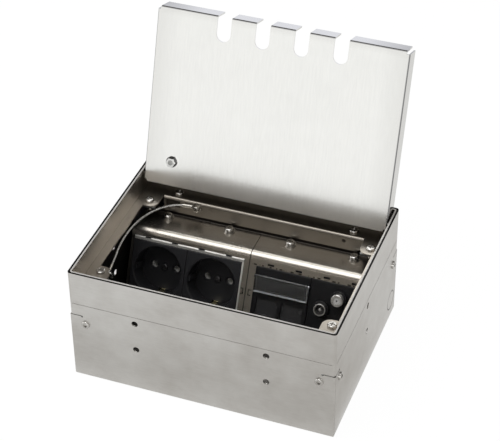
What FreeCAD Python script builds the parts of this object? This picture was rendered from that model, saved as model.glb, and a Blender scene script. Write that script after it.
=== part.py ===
import FreeCAD, Part

import math
import os

from FreeCAD import Placement, Rotation, Vector

# Floor socket box in stainless sheet, with a hinged pan lid and two device carriers.
# Millimetres. Origin: centre of the underside. +X right, +Y towards the hinge, +Z up.
# The lid is drawn open, resting against the back rim.

# ---------------------------------------------------------------- housing
END_SPACE = 7.0            # from the outer module to the outside of the housing
BOX_WIDTH = 155.0
BOX_HEIGHT = 98.7
HOUSING_SHEET = 1.2
HOUSING_CORNER_R = 2.5
SEAM_CORNER_R = 0.5
FLOOR_BEND_R = 1.6
SEAM_TOP = 59.3            # below it the corners are butt seams, above it they are wrapped
SEAM_WIDTH = 0.3
SEAM_DEPTH = 0.6
SLIT_WIDTH = 0.7
SLIT_REACH = 9.5
RELIEF_R = 0.9
MARK_HEIGHT = 70.3         # fine groove that marks the screed level
MARK_WIDTH = 0.5
MARK_DEPTH = 0.3
ANCHOR_HOLE_R = 2.5
ANCHOR_SPACING_X = 102.0
ANCHOR_SPACING_Z = 25.0
ANCHOR_LOW_Z = 39.2
KNOCKOUT_R = 8.3
KNOCKOUT_GROOVE = 0.6
KNOCKOUT_DEPTH = 0.7
KNOCKOUT_HEIGHT = 17.5
KNOCKOUT_FROM_BACK = 12.5

# ---------------------------------------------------------------- inner frame
FRAME_GAP = 0.3
FRAME_SHEET = 1.2
FRAME_CORNER_R = 2.0
LEDGE_DROP = 18.7
LEDGE_SIDE = 7.0
LEDGE_FRONT = 14.0
LUG_LENGTH = 36.3
FRONT_LUG_LENGTH = 33.5
LUG_WIDTH = 17.8
LUG_R = 7.0
LIP_SETBACK = 20.1         # from the back inner face to the front of the lip
LIP_HEIGHT = 13.2
LIP_HALF = 82.0
LIP_CHAMFER = 5.0
LIP_BEND_R = 1.0
LIP_WINDOW_X = (-80.6, -68.2)
LIP_WINDOW_Z = (4.6, 11.0)
LIP_HOLE_X = 66.4
LIP_HOLE_R = 1.6
WELD_X = (-42.1, 57.9)
WELD_R = 2.2
WELD_DEPTH = 0.2

# ---------------------------------------------------------------- screws
M4_R = 2.0
M4_HEAD_R = 3.6
LOW_HEAD = 1.9
PAN_HEAD = 2.6
SIDE_HEAD_R = 3.3
SIDE_HEAD = 1.6
THREAD_FIT = 0.05
CLEAR_FIT = 0.25
M3_R = 1.5
M3_HEAD_R = 2.7
LEDGE_SCREW_INSET = 9.8    # from the side inner face of the frame
LEDGE_SCREW_FROM_BACK = 29.1       # from the back inner face of the frame
FRONT_SCREW_FROM_FRONT = 27.1      # from the front inner face of the frame
LEDGE_SCREW_LENGTH = 8.0
RAIL_SCREW_LENGTH = 6.0
CARRIER_SCREW_LENGTH = 7.0
RAIL_SCREW_X = 72.0
RAIL_SCREW_BACK = 12.3     # from the back inner face of the frame
SIDE_SCREW_HEIGHT = 52.0
SIDE_SCREW_FROM_EDGE_X = 12.0
SIDE_SCREW_FROM_EDGE_Y = 11.0

# ---------------------------------------------------------------- corner brackets
BRACKET_SHEET = 1.5
BRACKET_LOW_Z = 44.0
BRACKET_LEG_X = 22.0
BRACKET_BEND_R = 1.0
NUT_R = 3.4
NUT_H = 2.5

# ---------------------------------------------------------------- device rail
RAIL_SHEET = 1.5
RAIL_SETBACK = 1.4         # from the outer end of a carrier to the end of the rail foot
RAIL_TOP_DEPTH = 13.0
RAIL_FOOT_DEPTH = 14.0
RAIL_DROP = 16.0           # from the ledge top to the top of the carrier flange
RAIL_BEND_R = 1.0

# ---------------------------------------------------------------- carriers and modules
MODULE = 45.0
MODULE_GAP = 0.2
CARRIER_PITCH = 102.0
CARRIER_SHEET = 1.2
CARRIER_BEND_R = 6.0
CARRIER_END = 2.4          # from the outer module to the end of the carrier
CARRIER_INNER = 0.3
CARRIER_MARGIN = 5.0
CARRIER_STIFFENER = 6.0
CARRIER_SCREW_SPACING = 51.6
CARRIER_BACK_GAP = 0.5
OPENING_CLEAR = 0.3
CUT_IN = 4.0               # how far the openings are cut in behind the module face
CUT_OUT = 2.0
CARRIER_SCREW_BACK = 5.2   # from the front of the lip
FACE_SLOPE = 65.0
FACE_TOP_Y = 25.3
FACE_TOP_Z = 56.0
MODULE_PROUD = 0.8
LATCH_SLOT_WIDTH = 5.2
LATCH_SLOT_HEIGHT = 1.6
LATCH_STRIP = 1.6
LATCH_DEPTH = 2.2
LATCH_REACH = 2.8
TONGUE_WIDTH = 2.4
TONGUE_HEIGHT = 5.0
TONGUE_SLIT = 0.7

# ---------------------------------------------------------------- earthed sockets
RECESS_R = 19.6
RECESS_DEPTH = 17.5
CUP_WALL = 2.0
CUP_FLOOR = 3.7
CUP_PLATE = 5.0
CUP_RIM_CHAMFER = 0.9
FACE_EDGE = 0.5
FACE_CORNER_R = 0.8
GUIDE_WIDTH = 5.0
GUIDE_HEIGHT = 1.6
GUIDE_TOP = 2.5
PIN_SPACING = 19.0
PIN_R = 2.4
PIN_HOLE_R = 2.75
SLEEVE_CLEAR = 0.05
SLEEVE_WALL = 0.5
SLEEVE_LENGTH = 10.0
BASE_WIDTH = 42.0
BASE_HEIGHT = 40.0
BASE_DEPTH = 12.0
STRAP_WIDTH = 4.6
STRAP_SHEET = 0.8
STRAP_BEND_R = 0.6
STRAP_ARM = 20.7
STRAP_CONTACT = 18.7
STRAP_TOP = 2.4
STRAP_WAIST = 6.5
STRAP_KNEE = 12.0
CHANNEL_CLEAR = 0.35
TERMINAL_HEAD_R = 2.2
TERMINAL_R = 1.3
TERMINAL_LENGTH = 5.0
SOCKET_SCREW_ENTRY = 8.0

# ---------------------------------------------------------------- data module
DATA_PLATE = 5.0
LABEL_TOP = 16.6
LABEL_HEIGHT = 13.9
LABEL_RECESS = 0.6
LABEL_LAND = 1.6
LABEL_INSET = 1.3
LABEL_PAPER = 0.3
WINDOW_WIDTH = 43.2
WINDOW_SHEET = 0.9
WINDOW_PROUD = 2.5
WINDOW_BARREL_R = 1.1
WINDOW_PIN_R = 0.6
WINDOW_FIT = 0.06
WINDOW_GAP = 0.2
WINDOW_OPEN = 95.0
EAR_WIDTH = 0.5
PORT_SPACING = 20.2
PORT_WIDTH = 17.4
PORT_HEIGHT = 15.0
PORT_CENTRE = -9.7
SHUTTER_SHEET = 1.2
SHUTTER_OVERLAP = 0.5
SHUTTER_CLEAR = 0.3
SHUTTER_STOP = 0.2
SHUTTER_DEPTH = 1.6
SHUTTER_TRAVEL = 12.0
RIDGE_WIDTH = 12.0
RIDGE_HEIGHT = 1.2
RIDGE_UP = 2.2
JACK_WIDTH = 15.0
JACK_HEIGHT = 16.4
JACK_DEPTH = 22.0
JACK_CLEAR = 0.2
PLUG_WIDTH = 11.8
PLUG_HEIGHT = 8.0
PLUG_DEPTH = 13.0
LATCH_WIDTH = 6.2
LATCH_HEIGHT = 2.4

# ---------------------------------------------------------------- antenna module
ANTENNA_PLATE = 4.0
CAN_WIDTH = 38.0
CAN_ENTRY_X = 9.0
CAN_ENTRY_R = 2.6
CAN_ENTRY_DEPTH = 6.0
CAN_HEIGHT = 36.0
CAN_DEPTH = 20.0
CAN_R = 2.0
COAX_R = 4.75
COAX_WALL = 0.7
COAX_PIN_R = 1.1
BOSS_R = 6.4
BOSS_HEIGHT = 3.4
COAX_ROOT = 3.0
COAX_SPREAD = 11.5
COAX_LEVEL = 1.0
COAX_OUT = 6.0
SAT_OFFSET = 1.2
SAT_LEVEL = 11.5
SAT_OUT = 8.0
SAT_BORE_R = 2.8
SAT_THREAD = 0.5

# ---------------------------------------------------------------- lid
LID_GAP = 1.25
LID_BACK_GAP = 6.4
LID_HEIGHT = 16.0
LID_SHEET = 1.2
LID_BEND_R = 0.9
LID_CORNER_RELIEF = 2.6
LID_BELOW_RIM = 0.2
NOTCH_WIDTH = 11.3
NOTCH_REACH = 19.2
NOTCH_PITCH = 30.7
NOTCH_COUNT = 4
NOTCH_SHIFT = 1.2
HINGE_BACK = 10.3          # from the back inner face of the frame
HINGE_DROP = 7.5
HINGE_PIN_R = 1.5
HINGE_HEAD_R = 2.5
HINGE_HEAD = 0.8
HINGE_SIDE_PLAY = 0.3
HINGE_FIT = 0.06
PRESS_FIT = 0.02
LID_OPEN = 108.0
EARTH_FROM_SIDE = 22.05
EARTH_FROM_BACK = 20.5
EARTH_WASHER_R = 4.4
EARTH_WASHER = 0.8
EARTH_NUT_R = 3.9
EARTH_NUT = 2.4
EARTH_END = 0.2

# ---------------------------------------------------------------- wire rope
ROPE_R = 0.75
ROPE_HOOK_BACK = 3.7         # from the front ledge screws to the start of the rope
ROPE_END_GAP = 2.5           # from the end of the rope to the lip
# from the left inner wall, share of the way from the start to the end, from the ledge top
ROPE_RUN = [
    (16.0, 0.000, 1.15),
    (14.3, 0.125, 1.05),
    (11.1, 0.286, 0.75),
    (10.0, 0.478, 0.45),
    (11.8, 0.660, -0.05),
    (16.7, 0.816, -1.10),
    (23.7, 0.931, -2.10),
    (31.9, 0.994, -2.70),
    (38.8, 1.000, -2.75),
]
SOCKETED_FIT = 0.05
FERRULE_R = 1.05
FERRULE_LENGTH = 6.5
HOOK_R = 0.6
HOOK_BEND_R = 1.2
HOOK_CLEAR = 1.1           # from the edge of the ledge lug to the middle of the hook wire
BARREL_R = 1.5
BARREL_LENGTH = 8.0
ROPE_GRIP = 3.6
EYELET_R = 3.8
EYELET_SHEET = 0.9
EYELET_PITCH = 7.6         # from the end of the rope to the screw
EYELET_DROP = 4.3          # from the ledge top
EYELET_HEAD = 2.2
LOCK_WASHER = 0.8
LOCK_WASHER_R = 3.7
LOCK_TEETH = 10
TOOTH_SLOT = 0.7

# ---------------------------------------------------------------- worked out from the sizes above
BOX_LENGTH = CARRIER_PITCH + 2 * (MODULE + END_SPACE)
CARRIER_OUTER = CARRIER_PITCH / 2 + MODULE + CARRIER_END
RAIL_HALF = CARRIER_OUTER - RAIL_SETBACK
INNER_X = BOX_LENGTH / 2 - HOUSING_SHEET - FRAME_GAP - FRAME_SHEET
INNER_Y = BOX_WIDTH / 2 - HOUSING_SHEET - FRAME_GAP - FRAME_SHEET
LEDGE_TOP = BOX_HEIGHT - LEDGE_DROP
LEDGE_LOW = LEDGE_TOP - FRAME_SHEET
LIP_FRONT = INNER_Y - LIP_SETBACK
LUG_X = INNER_X - LUG_WIDTH
LUG_Y = INNER_Y - LUG_LENGTH
FRONT_LUG_Y = INNER_Y - FRONT_LUG_LENGTH
LEDGE_SCREW_X = INNER_X - LEDGE_SCREW_INSET
LEDGE_SCREW_Y = INNER_Y - LEDGE_SCREW_FROM_BACK
FRONT_SCREW_Y = INNER_Y - FRONT_SCREW_FROM_FRONT
FLANGE_TOP = LEDGE_TOP - RAIL_DROP
SLOPE = math.radians(FACE_SLOPE)
UP = Vector(0, math.cos(SLOPE), math.sin(SLOPE))
OUT = Vector(0, -math.sin(SLOPE), math.cos(SLOPE))
FACE_CENTRE = Vector(0, FACE_TOP_Y, FACE_TOP_Z) - UP * (MODULE / 2)
CARRIER_SCREW_Y = LIP_FRONT - CARRIER_SCREW_BACK
LID_TOP = BOX_HEIGHT - LID_BELOW_RIM
LID_LOW = LID_TOP - LID_HEIGHT
LID_HALF = INNER_X - LID_GAP
LID_FRONT = -INNER_Y + LID_GAP
LID_BACK = INNER_Y - LID_BACK_GAP
HINGE = Vector(0, INNER_Y - HINGE_BACK, BOX_HEIGHT - HINGE_DROP)
MODULE_HALF = (MODULE - MODULE_GAP) / 2
CUP_BACK = RECESS_DEPTH + CUP_FLOOR
BASE_FRONT = CUP_BACK + STRAP_SHEET
SHUTTER_HALF = PORT_WIDTH / 2 + SHUTTER_OVERLAP
SHUTTER_LOW = PORT_CENTRE - PORT_HEIGHT / 2 - SHUTTER_OVERLAP
SHUTTER_HIGH = PORT_CENTRE + PORT_HEIGHT / 2 + SHUTTER_OVERLAP
WINDOW_PIN_AT = LABEL_TOP - WINDOW_BARREL_R - SHUTTER_CLEAR
WINDOW_LOW = LABEL_TOP - LABEL_HEIGHT
WINDOW_AXIS_OUT = WINDOW_BARREL_R + WINDOW_GAP
LID_EARTH_Y = LID_BACK - EARTH_FROM_BACK
EARTH_X = EARTH_FROM_SIDE - LID_HALF
EYELET_Z = LEDGE_TOP - EYELET_DROP
ROPE_START_Y = ROPE_HOOK_BACK - FRONT_SCREW_Y
ROPE_WAY = LIP_FRONT - ROPE_END_GAP - ROPE_START_Y
ROPE_POINTS = [(across - INNER_X, ROPE_START_Y + share * ROPE_WAY, LEDGE_TOP + up)
               for across, share, up in ROPE_RUN]
EYELET_X = ROPE_POINTS[-1][0] + EYELET_PITCH


def box(x0, x1, y0, y1, z0, z1):
    """Box between two opposite corners, in any order."""
    low = Vector(min(x0, x1), min(y0, y1), min(z0, z1))
    return Part.makeBox(abs(x1 - x0), abs(y1 - y0), abs(z1 - z0), low)


def rounded_prism(half_x, half_y, z0, z1, radius):
    """Upright prism on a rounded rectangle centred on the Z axis."""
    solid = box(-half_x, half_x, -half_y, half_y, z0, z1)
    return round_upright(solid, radius)


def round_upright(solid, radius):
    """Round the edges of a box that run along Z."""
    upright = [e for e in solid.Edges if abs(e.tangentAt(e.FirstParameter).z) > 0.9]
    return solid.makeFillet(radius, upright)


def rod(radius, start, end):
    """Cylinder between two points."""
    start, end = Vector(*start), Vector(*end)
    return Part.makeCylinder(radius, (end - start).Length, start, end - start)


def tube(radius, bore, start, end):
    """Hollow cylinder between two points."""
    return rod(radius, start, end).cut(rod(bore, start, end))


def polygon_prism(points, along):
    """Prism on a flat polygon."""
    corners = [Vector(*p) for p in points]
    return Part.Face(Part.makePolygon(corners + corners[:1])).extrude(Vector(*along))


def offset_corners(points, distance):
    """Shift an open 2D path to its left, with mitred corners."""
    headings = []
    for (ax, ay), (bx, by) in zip(points, points[1:]):
        run = math.hypot(bx - ax, by - ay)
        headings.append(((bx - ax) / run, (by - ay) / run))
    shifted = []
    for i, (px, py) in enumerate(points):
        before = headings[max(i - 1, 0)]
        after = headings[min(i, len(headings) - 1)]
        nx, ny = -(before[1] + after[1]), before[0] + after[0]
        scale = distance / (1 + before[0] * after[0] + before[1] * after[1])
        shifted.append((px + nx * scale, py + ny * scale))
    return shifted


def bent_path(points, radii, lift):
    """Edges of a 2D path with an arc at each inner corner."""
    edges = []
    cursor = points[0]
    for i in range(1, len(points) - 1):
        (ax, ay), (bx, by), (cx, cy) = points[i - 1], points[i], points[i + 1]
        ux, uy = ax - bx, ay - by
        wx, wy = cx - bx, cy - by
        lu, lw = math.hypot(ux, uy), math.hypot(wx, wy)
        ux, uy, wx, wy = ux / lu, uy / lu, wx / lw, wy / lw
        half = math.acos(max(-1.0, min(1.0, ux * wx + uy * wy))) / 2
        back = radii[i - 1] / math.tan(half)
        start = (bx + ux * back, by + uy * back)
        end = (bx + wx * back, by + wy * back)
        mx, my = ux + wx, uy + wy
        reach = radii[i - 1] / math.sin(half) - radii[i - 1]
        lm = math.hypot(mx, my)
        middle = (bx + mx / lm * reach, by + my / lm * reach)
        edges.append(Part.makeLine(lift(cursor), lift(start)))
        edges.append(Part.Arc(lift(start), lift(middle), lift(end)).toShape())
        cursor = end
    edges.append(Part.makeLine(lift(cursor), lift(points[-1])))
    return edges


def folded_sheet(points, thickness, bend_r, lift, along):
    """Sheet whose right-hand face follows a 2D path, folded at its corners and extruded."""
    outer_radii, inner_radii = [], []
    for a, b, c in zip(points, points[1:], points[2:]):
        turn = (b[0] - a[0]) * (c[1] - b[1]) - (b[1] - a[1]) * (c[0] - b[0])
        outer_radii.append(bend_r + thickness if turn > 0 else bend_r)
        inner_radii.append(bend_r if turn > 0 else bend_r + thickness)
    other = offset_corners(points, thickness)
    near = bent_path(points, outer_radii, lift)
    far = bent_path(other, inner_radii, lift)
    caps = [Part.makeLine(lift(points[-1]), lift(other[-1])),
            Part.makeLine(lift(other[0]), lift(points[0]))]
    wire = Part.Wire(Part.__sortEdges__(near + far + caps))
    return Part.Face(wire).extrude(Vector(*along))


def mirrored_x(shape):
    """Mirror image across the YZ plane."""
    return shape.mirror(Vector(0, 0, 0), Vector(1, 0, 0))


def mirrored_y(shape):
    """Mirror image across the XZ plane."""
    return shape.mirror(Vector(0, 0, 0), Vector(0, 1, 0))


def screw(head_r, head_h, shank_r, length, drive):
    """Screw along -Z with the underside of its head at the origin."""
    head = Part.makeCylinder(head_r, head_h)
    head = head.makeFillet(0.55 * head_h, [e for e in head.Edges if e.CenterOfMass.z > head_h / 2
                                           and e.Curve.TypeId == "Part::GeomCircle"])
    depth = 0.6 * head_h
    wide, narrow = 0.55 * head_r, 0.13 * head_r
    if drive == "cross":
        recess = box(-wide, wide, -narrow, narrow, head_h - depth, head_h + 1)
        recess = recess.fuse(box(-narrow, narrow, -wide, wide, head_h - depth, head_h + 1))
    else:
        corners = [(0.5 * head_r * math.cos(math.radians(60 * k)),
                    0.5 * head_r * math.sin(math.radians(60 * k)), head_h - depth) for k in range(6)]
        recess = polygon_prism(corners, (0, 0, head_h + 1))
    return head.cut(recess).fuse(Part.makeCylinder(shank_r, length, Vector(0, 0, -length)))


def placed(shape, at, direction=(0, 0, 1)):
    """Copy of a shape with its Z axis turned to a direction and its origin moved."""
    result = shape.copy()
    result.Placement = Placement(Vector(*at), Rotation(Vector(0, 0, 1), Vector(*direction)))
    return result


def group(shapes):
    """Separate solids in one node."""
    return Part.makeCompound(shapes)


def export(name, shape):
    """Write one node, after checking that it is valid."""
    if not shape.isValid():
        print("INVALID", name)
    shape.exportStep("parts/" + name + ".step")
    print("%-24s %2d solids %9.1f mm3" % (name, len(shape.Solids), shape.Volume))


def on_face(shape, x, y=0.0):
    """Move a module from its own frame (X right, Y up the slope, Z out) to the sloped face."""
    result = shape.copy()
    turn = Placement(FACE_CENTRE + Vector(x, 0, 0) + UP * y, Rotation(Vector(1, 0, 0), FACE_SLOPE))
    result.Placement = turn.multiply(result.Placement)
    return result


# ================================================================ housing
def outer_housing():
    """Folded and welded outer box with slit corners, anchor holes and knock-outs."""
    hx, hy = BOX_LENGTH / 2, BOX_WIDTH / 2
    low = rounded_prism(hx, hy, 0, SEAM_TOP, SEAM_CORNER_R)
    foot = [e for e in low.Edges if e.BoundBox.ZMax < 1e-6]
    low = low.makeFillet(FLOOR_BEND_R, foot)
    high = rounded_prism(hx, hy, SEAM_TOP, BOX_HEIGHT, HOUSING_CORNER_R)
    inner_r = HOUSING_CORNER_R - HOUSING_SHEET
    cavity = rounded_prism(hx - HOUSING_SHEET, hy - HOUSING_SHEET, HOUSING_SHEET, BOX_HEIGHT + 1, inner_r)
    shell = low.fuse(high).removeSplitter().cut(cavity)
    cuts = []
    for sx in (-1, 1):
        for sy in (-1, 1):
            cuts += corner_cuts(sx, sy)
    cuts += level_mark() + anchor_holes() + side_screw_holes() + knockout_grooves()
    return shell.cut(cuts)


def corner_cuts(sx, sy):
    """Slit above the seam, its two relief holes, and the seam below it, at one corner."""
    hx, hy = BOX_LENGTH / 2, BOX_WIDTH / 2
    z0, z1 = SEAM_TOP, SEAM_TOP + SLIT_WIDTH
    depth = 2 * HOUSING_SHEET
    end_x, end_y = hx - SLIT_REACH, hy - SLIT_REACH
    slit = box(sx * end_x, sx * (hx + 1), sy * (hy - depth), sy * (hy + 1), z0, z1)
    slit = slit.fuse(box(sx * (hx - depth), sx * (hx + 1), sy * end_y, sy * (hy + 1), z0, z1))
    zr = SEAM_TOP + SLIT_WIDTH / 2 - RELIEF_R / 2
    relief_x = rod(RELIEF_R, (sx * end_x, sy * (hy - depth), zr), (sx * end_x, sy * (hy + 1), zr))
    relief_y = rod(RELIEF_R, (sx * (hx - depth), sy * end_y, zr), (sx * (hx + 1), sy * end_y, zr))
    seam_y = hy - HOUSING_SHEET
    seam = box(sx * (hx - SEAM_DEPTH), sx * (hx + 1), sy * (seam_y - SEAM_WIDTH), sy * seam_y,
               FLOOR_BEND_R, SEAM_TOP + SLIT_WIDTH)
    return [slit, relief_x, relief_y, seam]


def level_mark():
    """Fine groove along all four walls, between the corner roundings."""
    hx, hy = BOX_LENGTH / 2, BOX_WIDTH / 2
    z0, z1 = MARK_HEIGHT - MARK_WIDTH / 2, MARK_HEIGHT + MARK_WIDTH / 2
    run_x, run_y = hx - HOUSING_CORNER_R, hy - HOUSING_CORNER_R
    grooves = []
    for s in (-1, 1):
        grooves.append(box(-run_x, run_x, s * (hy - MARK_DEPTH), s * (hy + 1), z0, z1))
        grooves.append(box(s * (hx - MARK_DEPTH), s * (hx + 1), -run_y, run_y, z0, z1))
    return grooves


def anchor_holes():
    """Four anchor holes in the front and back walls, two in each side wall."""
    hx, hy = BOX_LENGTH / 2, BOX_WIDTH / 2
    holes = []
    for z in (ANCHOR_LOW_Z, ANCHOR_LOW_Z + ANCHOR_SPACING_Z):
        for x in (-ANCHOR_SPACING_X / 2, ANCHOR_SPACING_X / 2):
            holes.append(rod(ANCHOR_HOLE_R, (x, -hy - 1, z), (x, -hy + 2 * HOUSING_SHEET, z)))
            holes.append(rod(ANCHOR_HOLE_R, (x, hy + 1, z), (x, hy - 2 * HOUSING_SHEET, z)))
        for s in (-1, 1):
            holes.append(rod(ANCHOR_HOLE_R, (s * (hx + 1), 0, z), (s * (hx - 2 * HOUSING_SHEET), 0, z)))
    return holes


def side_screw_places():
    """Seat and outward direction of the eight screws that hold the corner brackets."""
    hx, hy = BOX_LENGTH / 2, BOX_WIDTH / 2
    places = []
    for sx in (-1, 1):
        for sy in (-1, 1):
            x, y = sx * (hx - SIDE_SCREW_FROM_EDGE_X), sy * (hy - SIDE_SCREW_FROM_EDGE_Y)
            places.append((Vector(x, sy * hy, SIDE_SCREW_HEIGHT), Vector(0, sy, 0)))
            places.append((Vector(sx * hx, y, SIDE_SCREW_HEIGHT), Vector(sx, 0, 0)))
    return places


def side_screw_holes():
    """Clearance holes for the bracket screws."""
    holes = []
    for seat, out in side_screw_places():
        holes.append(rod(M4_R + CLEAR_FIT, seat + out, seat - out * 2 * HOUSING_SHEET))
    return holes


def knockout_grooves():
    """Ring grooves that leave a knock-out disc: one in each side wall, two in the back."""
    hx, hy = BOX_LENGTH / 2, BOX_WIDTH / 2
    y = hy - KNOCKOUT_FROM_BACK
    rings = []
    for s in (-1, 1):
        near = Vector(s * (hx - KNOCKOUT_DEPTH), y, KNOCKOUT_HEIGHT)
        far = Vector(s * (hx + 1), y, KNOCKOUT_HEIGHT)
        rings.append(tube(KNOCKOUT_R, KNOCKOUT_R - KNOCKOUT_GROOVE, near, far))
        x = s * ANCHOR_SPACING_X / 2
        near, far = Vector(x, hy - KNOCKOUT_DEPTH, KNOCKOUT_HEIGHT), Vector(x, hy + 1, KNOCKOUT_HEIGHT)
        rings.append(tube(KNOCKOUT_R, KNOCKOUT_R - KNOCKOUT_GROOVE, near, far))
    return rings


# ================================================================ inner frame
def inner_frame():
    """Rim liner with the turned-in ledge, its corner lugs and the lip folded down at the back."""
    ox, oy = INNER_X + FRAME_SHEET, INNER_Y + FRAME_SHEET
    body = rounded_prism(ox, oy, LEDGE_LOW, BOX_HEIGHT, FRAME_CORNER_R)
    foot = [e for e in body.Edges if e.BoundBox.ZMax < LEDGE_LOW + 1e-6]
    body = body.makeFillet(0.5 * FRAME_SHEET + 0.5, foot)
    cavity = rounded_prism(INNER_X, INNER_Y, LEDGE_TOP, BOX_HEIGHT + 1, FRAME_CORNER_R - FRAME_SHEET)
    body = body.cut([cavity, ledge_opening()])
    body = body.fuse(back_lip()).removeSplitter()
    cuts = []
    for sx in (-1, 1):
        for y in (-FRONT_SCREW_Y, LEDGE_SCREW_Y):
            x = sx * LEDGE_SCREW_X
            cuts.append(rod(M4_R + CLEAR_FIT, (x, y, LEDGE_LOW - 1), (x, y, LEDGE_TOP + 1)))
        x, y = sx * RAIL_SCREW_X, INNER_Y - RAIL_SCREW_BACK
        cuts.append(rod(M4_R + CLEAR_FIT, (x, y, LEDGE_LOW - 1), (x, y, LEDGE_TOP + 1)))
        out, near = sx * (ox + 1), sx * (INNER_X - 1)
        cuts.append(rod(HINGE_PIN_R + PRESS_FIT, (out, HINGE.y, HINGE.z), (near, HINGE.y, HINGE.z)))
    return body.cut(cuts)


def ledge_opening():
    """Opening in the ledge: wide between the lugs, narrow beside them, up to the lip at the back."""
    z0, z1 = LEDGE_LOW - 1, LEDGE_TOP + 1
    back = LIP_FRONT + LIP_BEND_R + FRAME_SHEET
    narrow = box(-LUG_X, LUG_X, -INNER_Y + LEDGE_FRONT, back, z0, z1)
    wide = box(-INNER_X + LEDGE_SIDE, INNER_X - LEDGE_SIDE, -FRONT_LUG_Y, LUG_Y, z0, z1)
    cross = narrow.fuse(wide).removeSplitter()
    inner = [e for e in cross.Edges if abs(e.tangentAt(e.FirstParameter).z) > 0.9
             and abs(abs(e.CenterOfMass.x) - LUG_X) < 1e-3
             and min(abs(e.CenterOfMass.y - LUG_Y), abs(e.CenterOfMass.y + FRONT_LUG_Y)) < 1e-3]
    return cross.makeFillet(LUG_R, inner)


def back_lip():
    """Strip folded down from the back ledge, with its window, small hole and two weld marks."""
    low = LEDGE_TOP - LIP_HEIGHT
    path = [(LIP_FRONT, low), (LIP_FRONT, LEDGE_TOP), (LIP_FRONT + 6, LEDGE_TOP)]
    path = list(reversed(path))
    strip = folded_sheet(path, FRAME_SHEET, LIP_BEND_R,
                         lambda p: Vector(-LIP_HALF, p[0], p[1]), (2 * LIP_HALF, 0, 0))
    y0, y1 = LIP_FRONT - 1, LIP_FRONT + FRAME_SHEET + 1
    z0, z1 = low + LIP_WINDOW_Z[0], low + LIP_WINDOW_Z[1]
    cuts = [box(LIP_WINDOW_X[0], LIP_WINDOW_X[1], y0, y1, z0, z1)]
    eye_z = EYELET_Z
    cuts.append(rod(LIP_HOLE_R, (LIP_HOLE_X, y0, eye_z - 1), (LIP_HOLE_X, y1, eye_z - 1)))
    cuts.append(rod(M3_R + CLEAR_FIT, (EYELET_X, y0, eye_z), (EYELET_X, y1, eye_z)))
    for x in WELD_X:
        cuts.append(rod(WELD_R, (x, y0, eye_z), (x, LIP_FRONT + WELD_DEPTH, eye_z)))
    corner = [(LIP_HALF + 1, y0, low - 1), (LIP_HALF - LIP_CHAMFER, y0, low - 1),
              (LIP_HALF - LIP_CHAMFER, y0, low), (LIP_HALF, y0, low + LIP_CHAMFER),
              (LIP_HALF + 1, y0, low + LIP_CHAMFER)]
    cuts.append(polygon_prism(corner, (0, y1 - y0, 0)))
    return strip.cut(cuts)


def ledge_screws():
    """Four low pan-head screws through the corner lugs."""
    one = screw(M4_HEAD_R, LOW_HEAD, M4_R, LEDGE_SCREW_LENGTH, "cross")
    return group([placed(one, (sx * LEDGE_SCREW_X, y, LEDGE_TOP))
                  for sx in (-1, 1) for y in (-FRONT_SCREW_Y, LEDGE_SCREW_Y)])


def rail_screws():
    """Two low pan-head screws that hold the device rail under the back ledge."""
    one = screw(M4_HEAD_R, LOW_HEAD, M4_R, RAIL_SCREW_LENGTH, "cross")
    return group([placed(one, (sx * RAIL_SCREW_X, INNER_Y - RAIL_SCREW_BACK, LEDGE_TOP)) for sx in (-1, 1)])


# ================================================================ brackets and rail
def corner_bracket(lug_y, screw_y):
    """Angle in the front left corner: two legs on the walls and a tab under the ledge lug."""
    wall_x, wall_y = BOX_LENGTH / 2 - HOUSING_SHEET, BOX_WIDTH / 2 - HOUSING_SHEET
    top = LEDGE_LOW
    path = [(-wall_x + BRACKET_LEG_X, -wall_y), (-wall_x, -wall_y), (-wall_x, -lug_y - 1)]
    legs = folded_sheet(list(reversed(path)), BRACKET_SHEET, BRACKET_BEND_R,
                        lambda p: Vector(p[0], p[1], BRACKET_LOW_Z), (0, 0, top - BRACKET_LOW_Z))
    tab_end = -LUG_X - 1.5
    tab = box(-wall_x, tab_end, -lug_y - 1, -screw_y - 6.5, top - BRACKET_SHEET, top)
    x, y = -LEDGE_SCREW_X, -screw_y
    body = legs.fuse([tab, rod(NUT_R, (x, y, top - BRACKET_SHEET - NUT_H), (x, y, top - 0.5))])
    cuts = [rod(M4_R + THREAD_FIT, (x, y, top - 9), (x, y, top + 1))]
    for seat, out in side_screw_places():
        if seat.x < 0 and seat.y < 0:
            inner = seat - out * (HOUSING_SHEET + BRACKET_SHEET)
            body = body.fuse(rod(NUT_R, inner + out * 0.5, inner - out * NUT_H))
            cuts.append(rod(M4_R + THREAD_FIT, seat, inner - out * (NUT_H + 1)))
    return body.removeSplitter().cut(cuts)


def side_screws():
    """Eight low hexagon-socket screws through the housing into the corner brackets."""
    one = screw(SIDE_HEAD_R, SIDE_HEAD, M4_R, HOUSING_SHEET + BRACKET_SHEET + NUT_H, "hex")
    return group([placed(one, seat, out) for seat, out in side_screw_places()])


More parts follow.
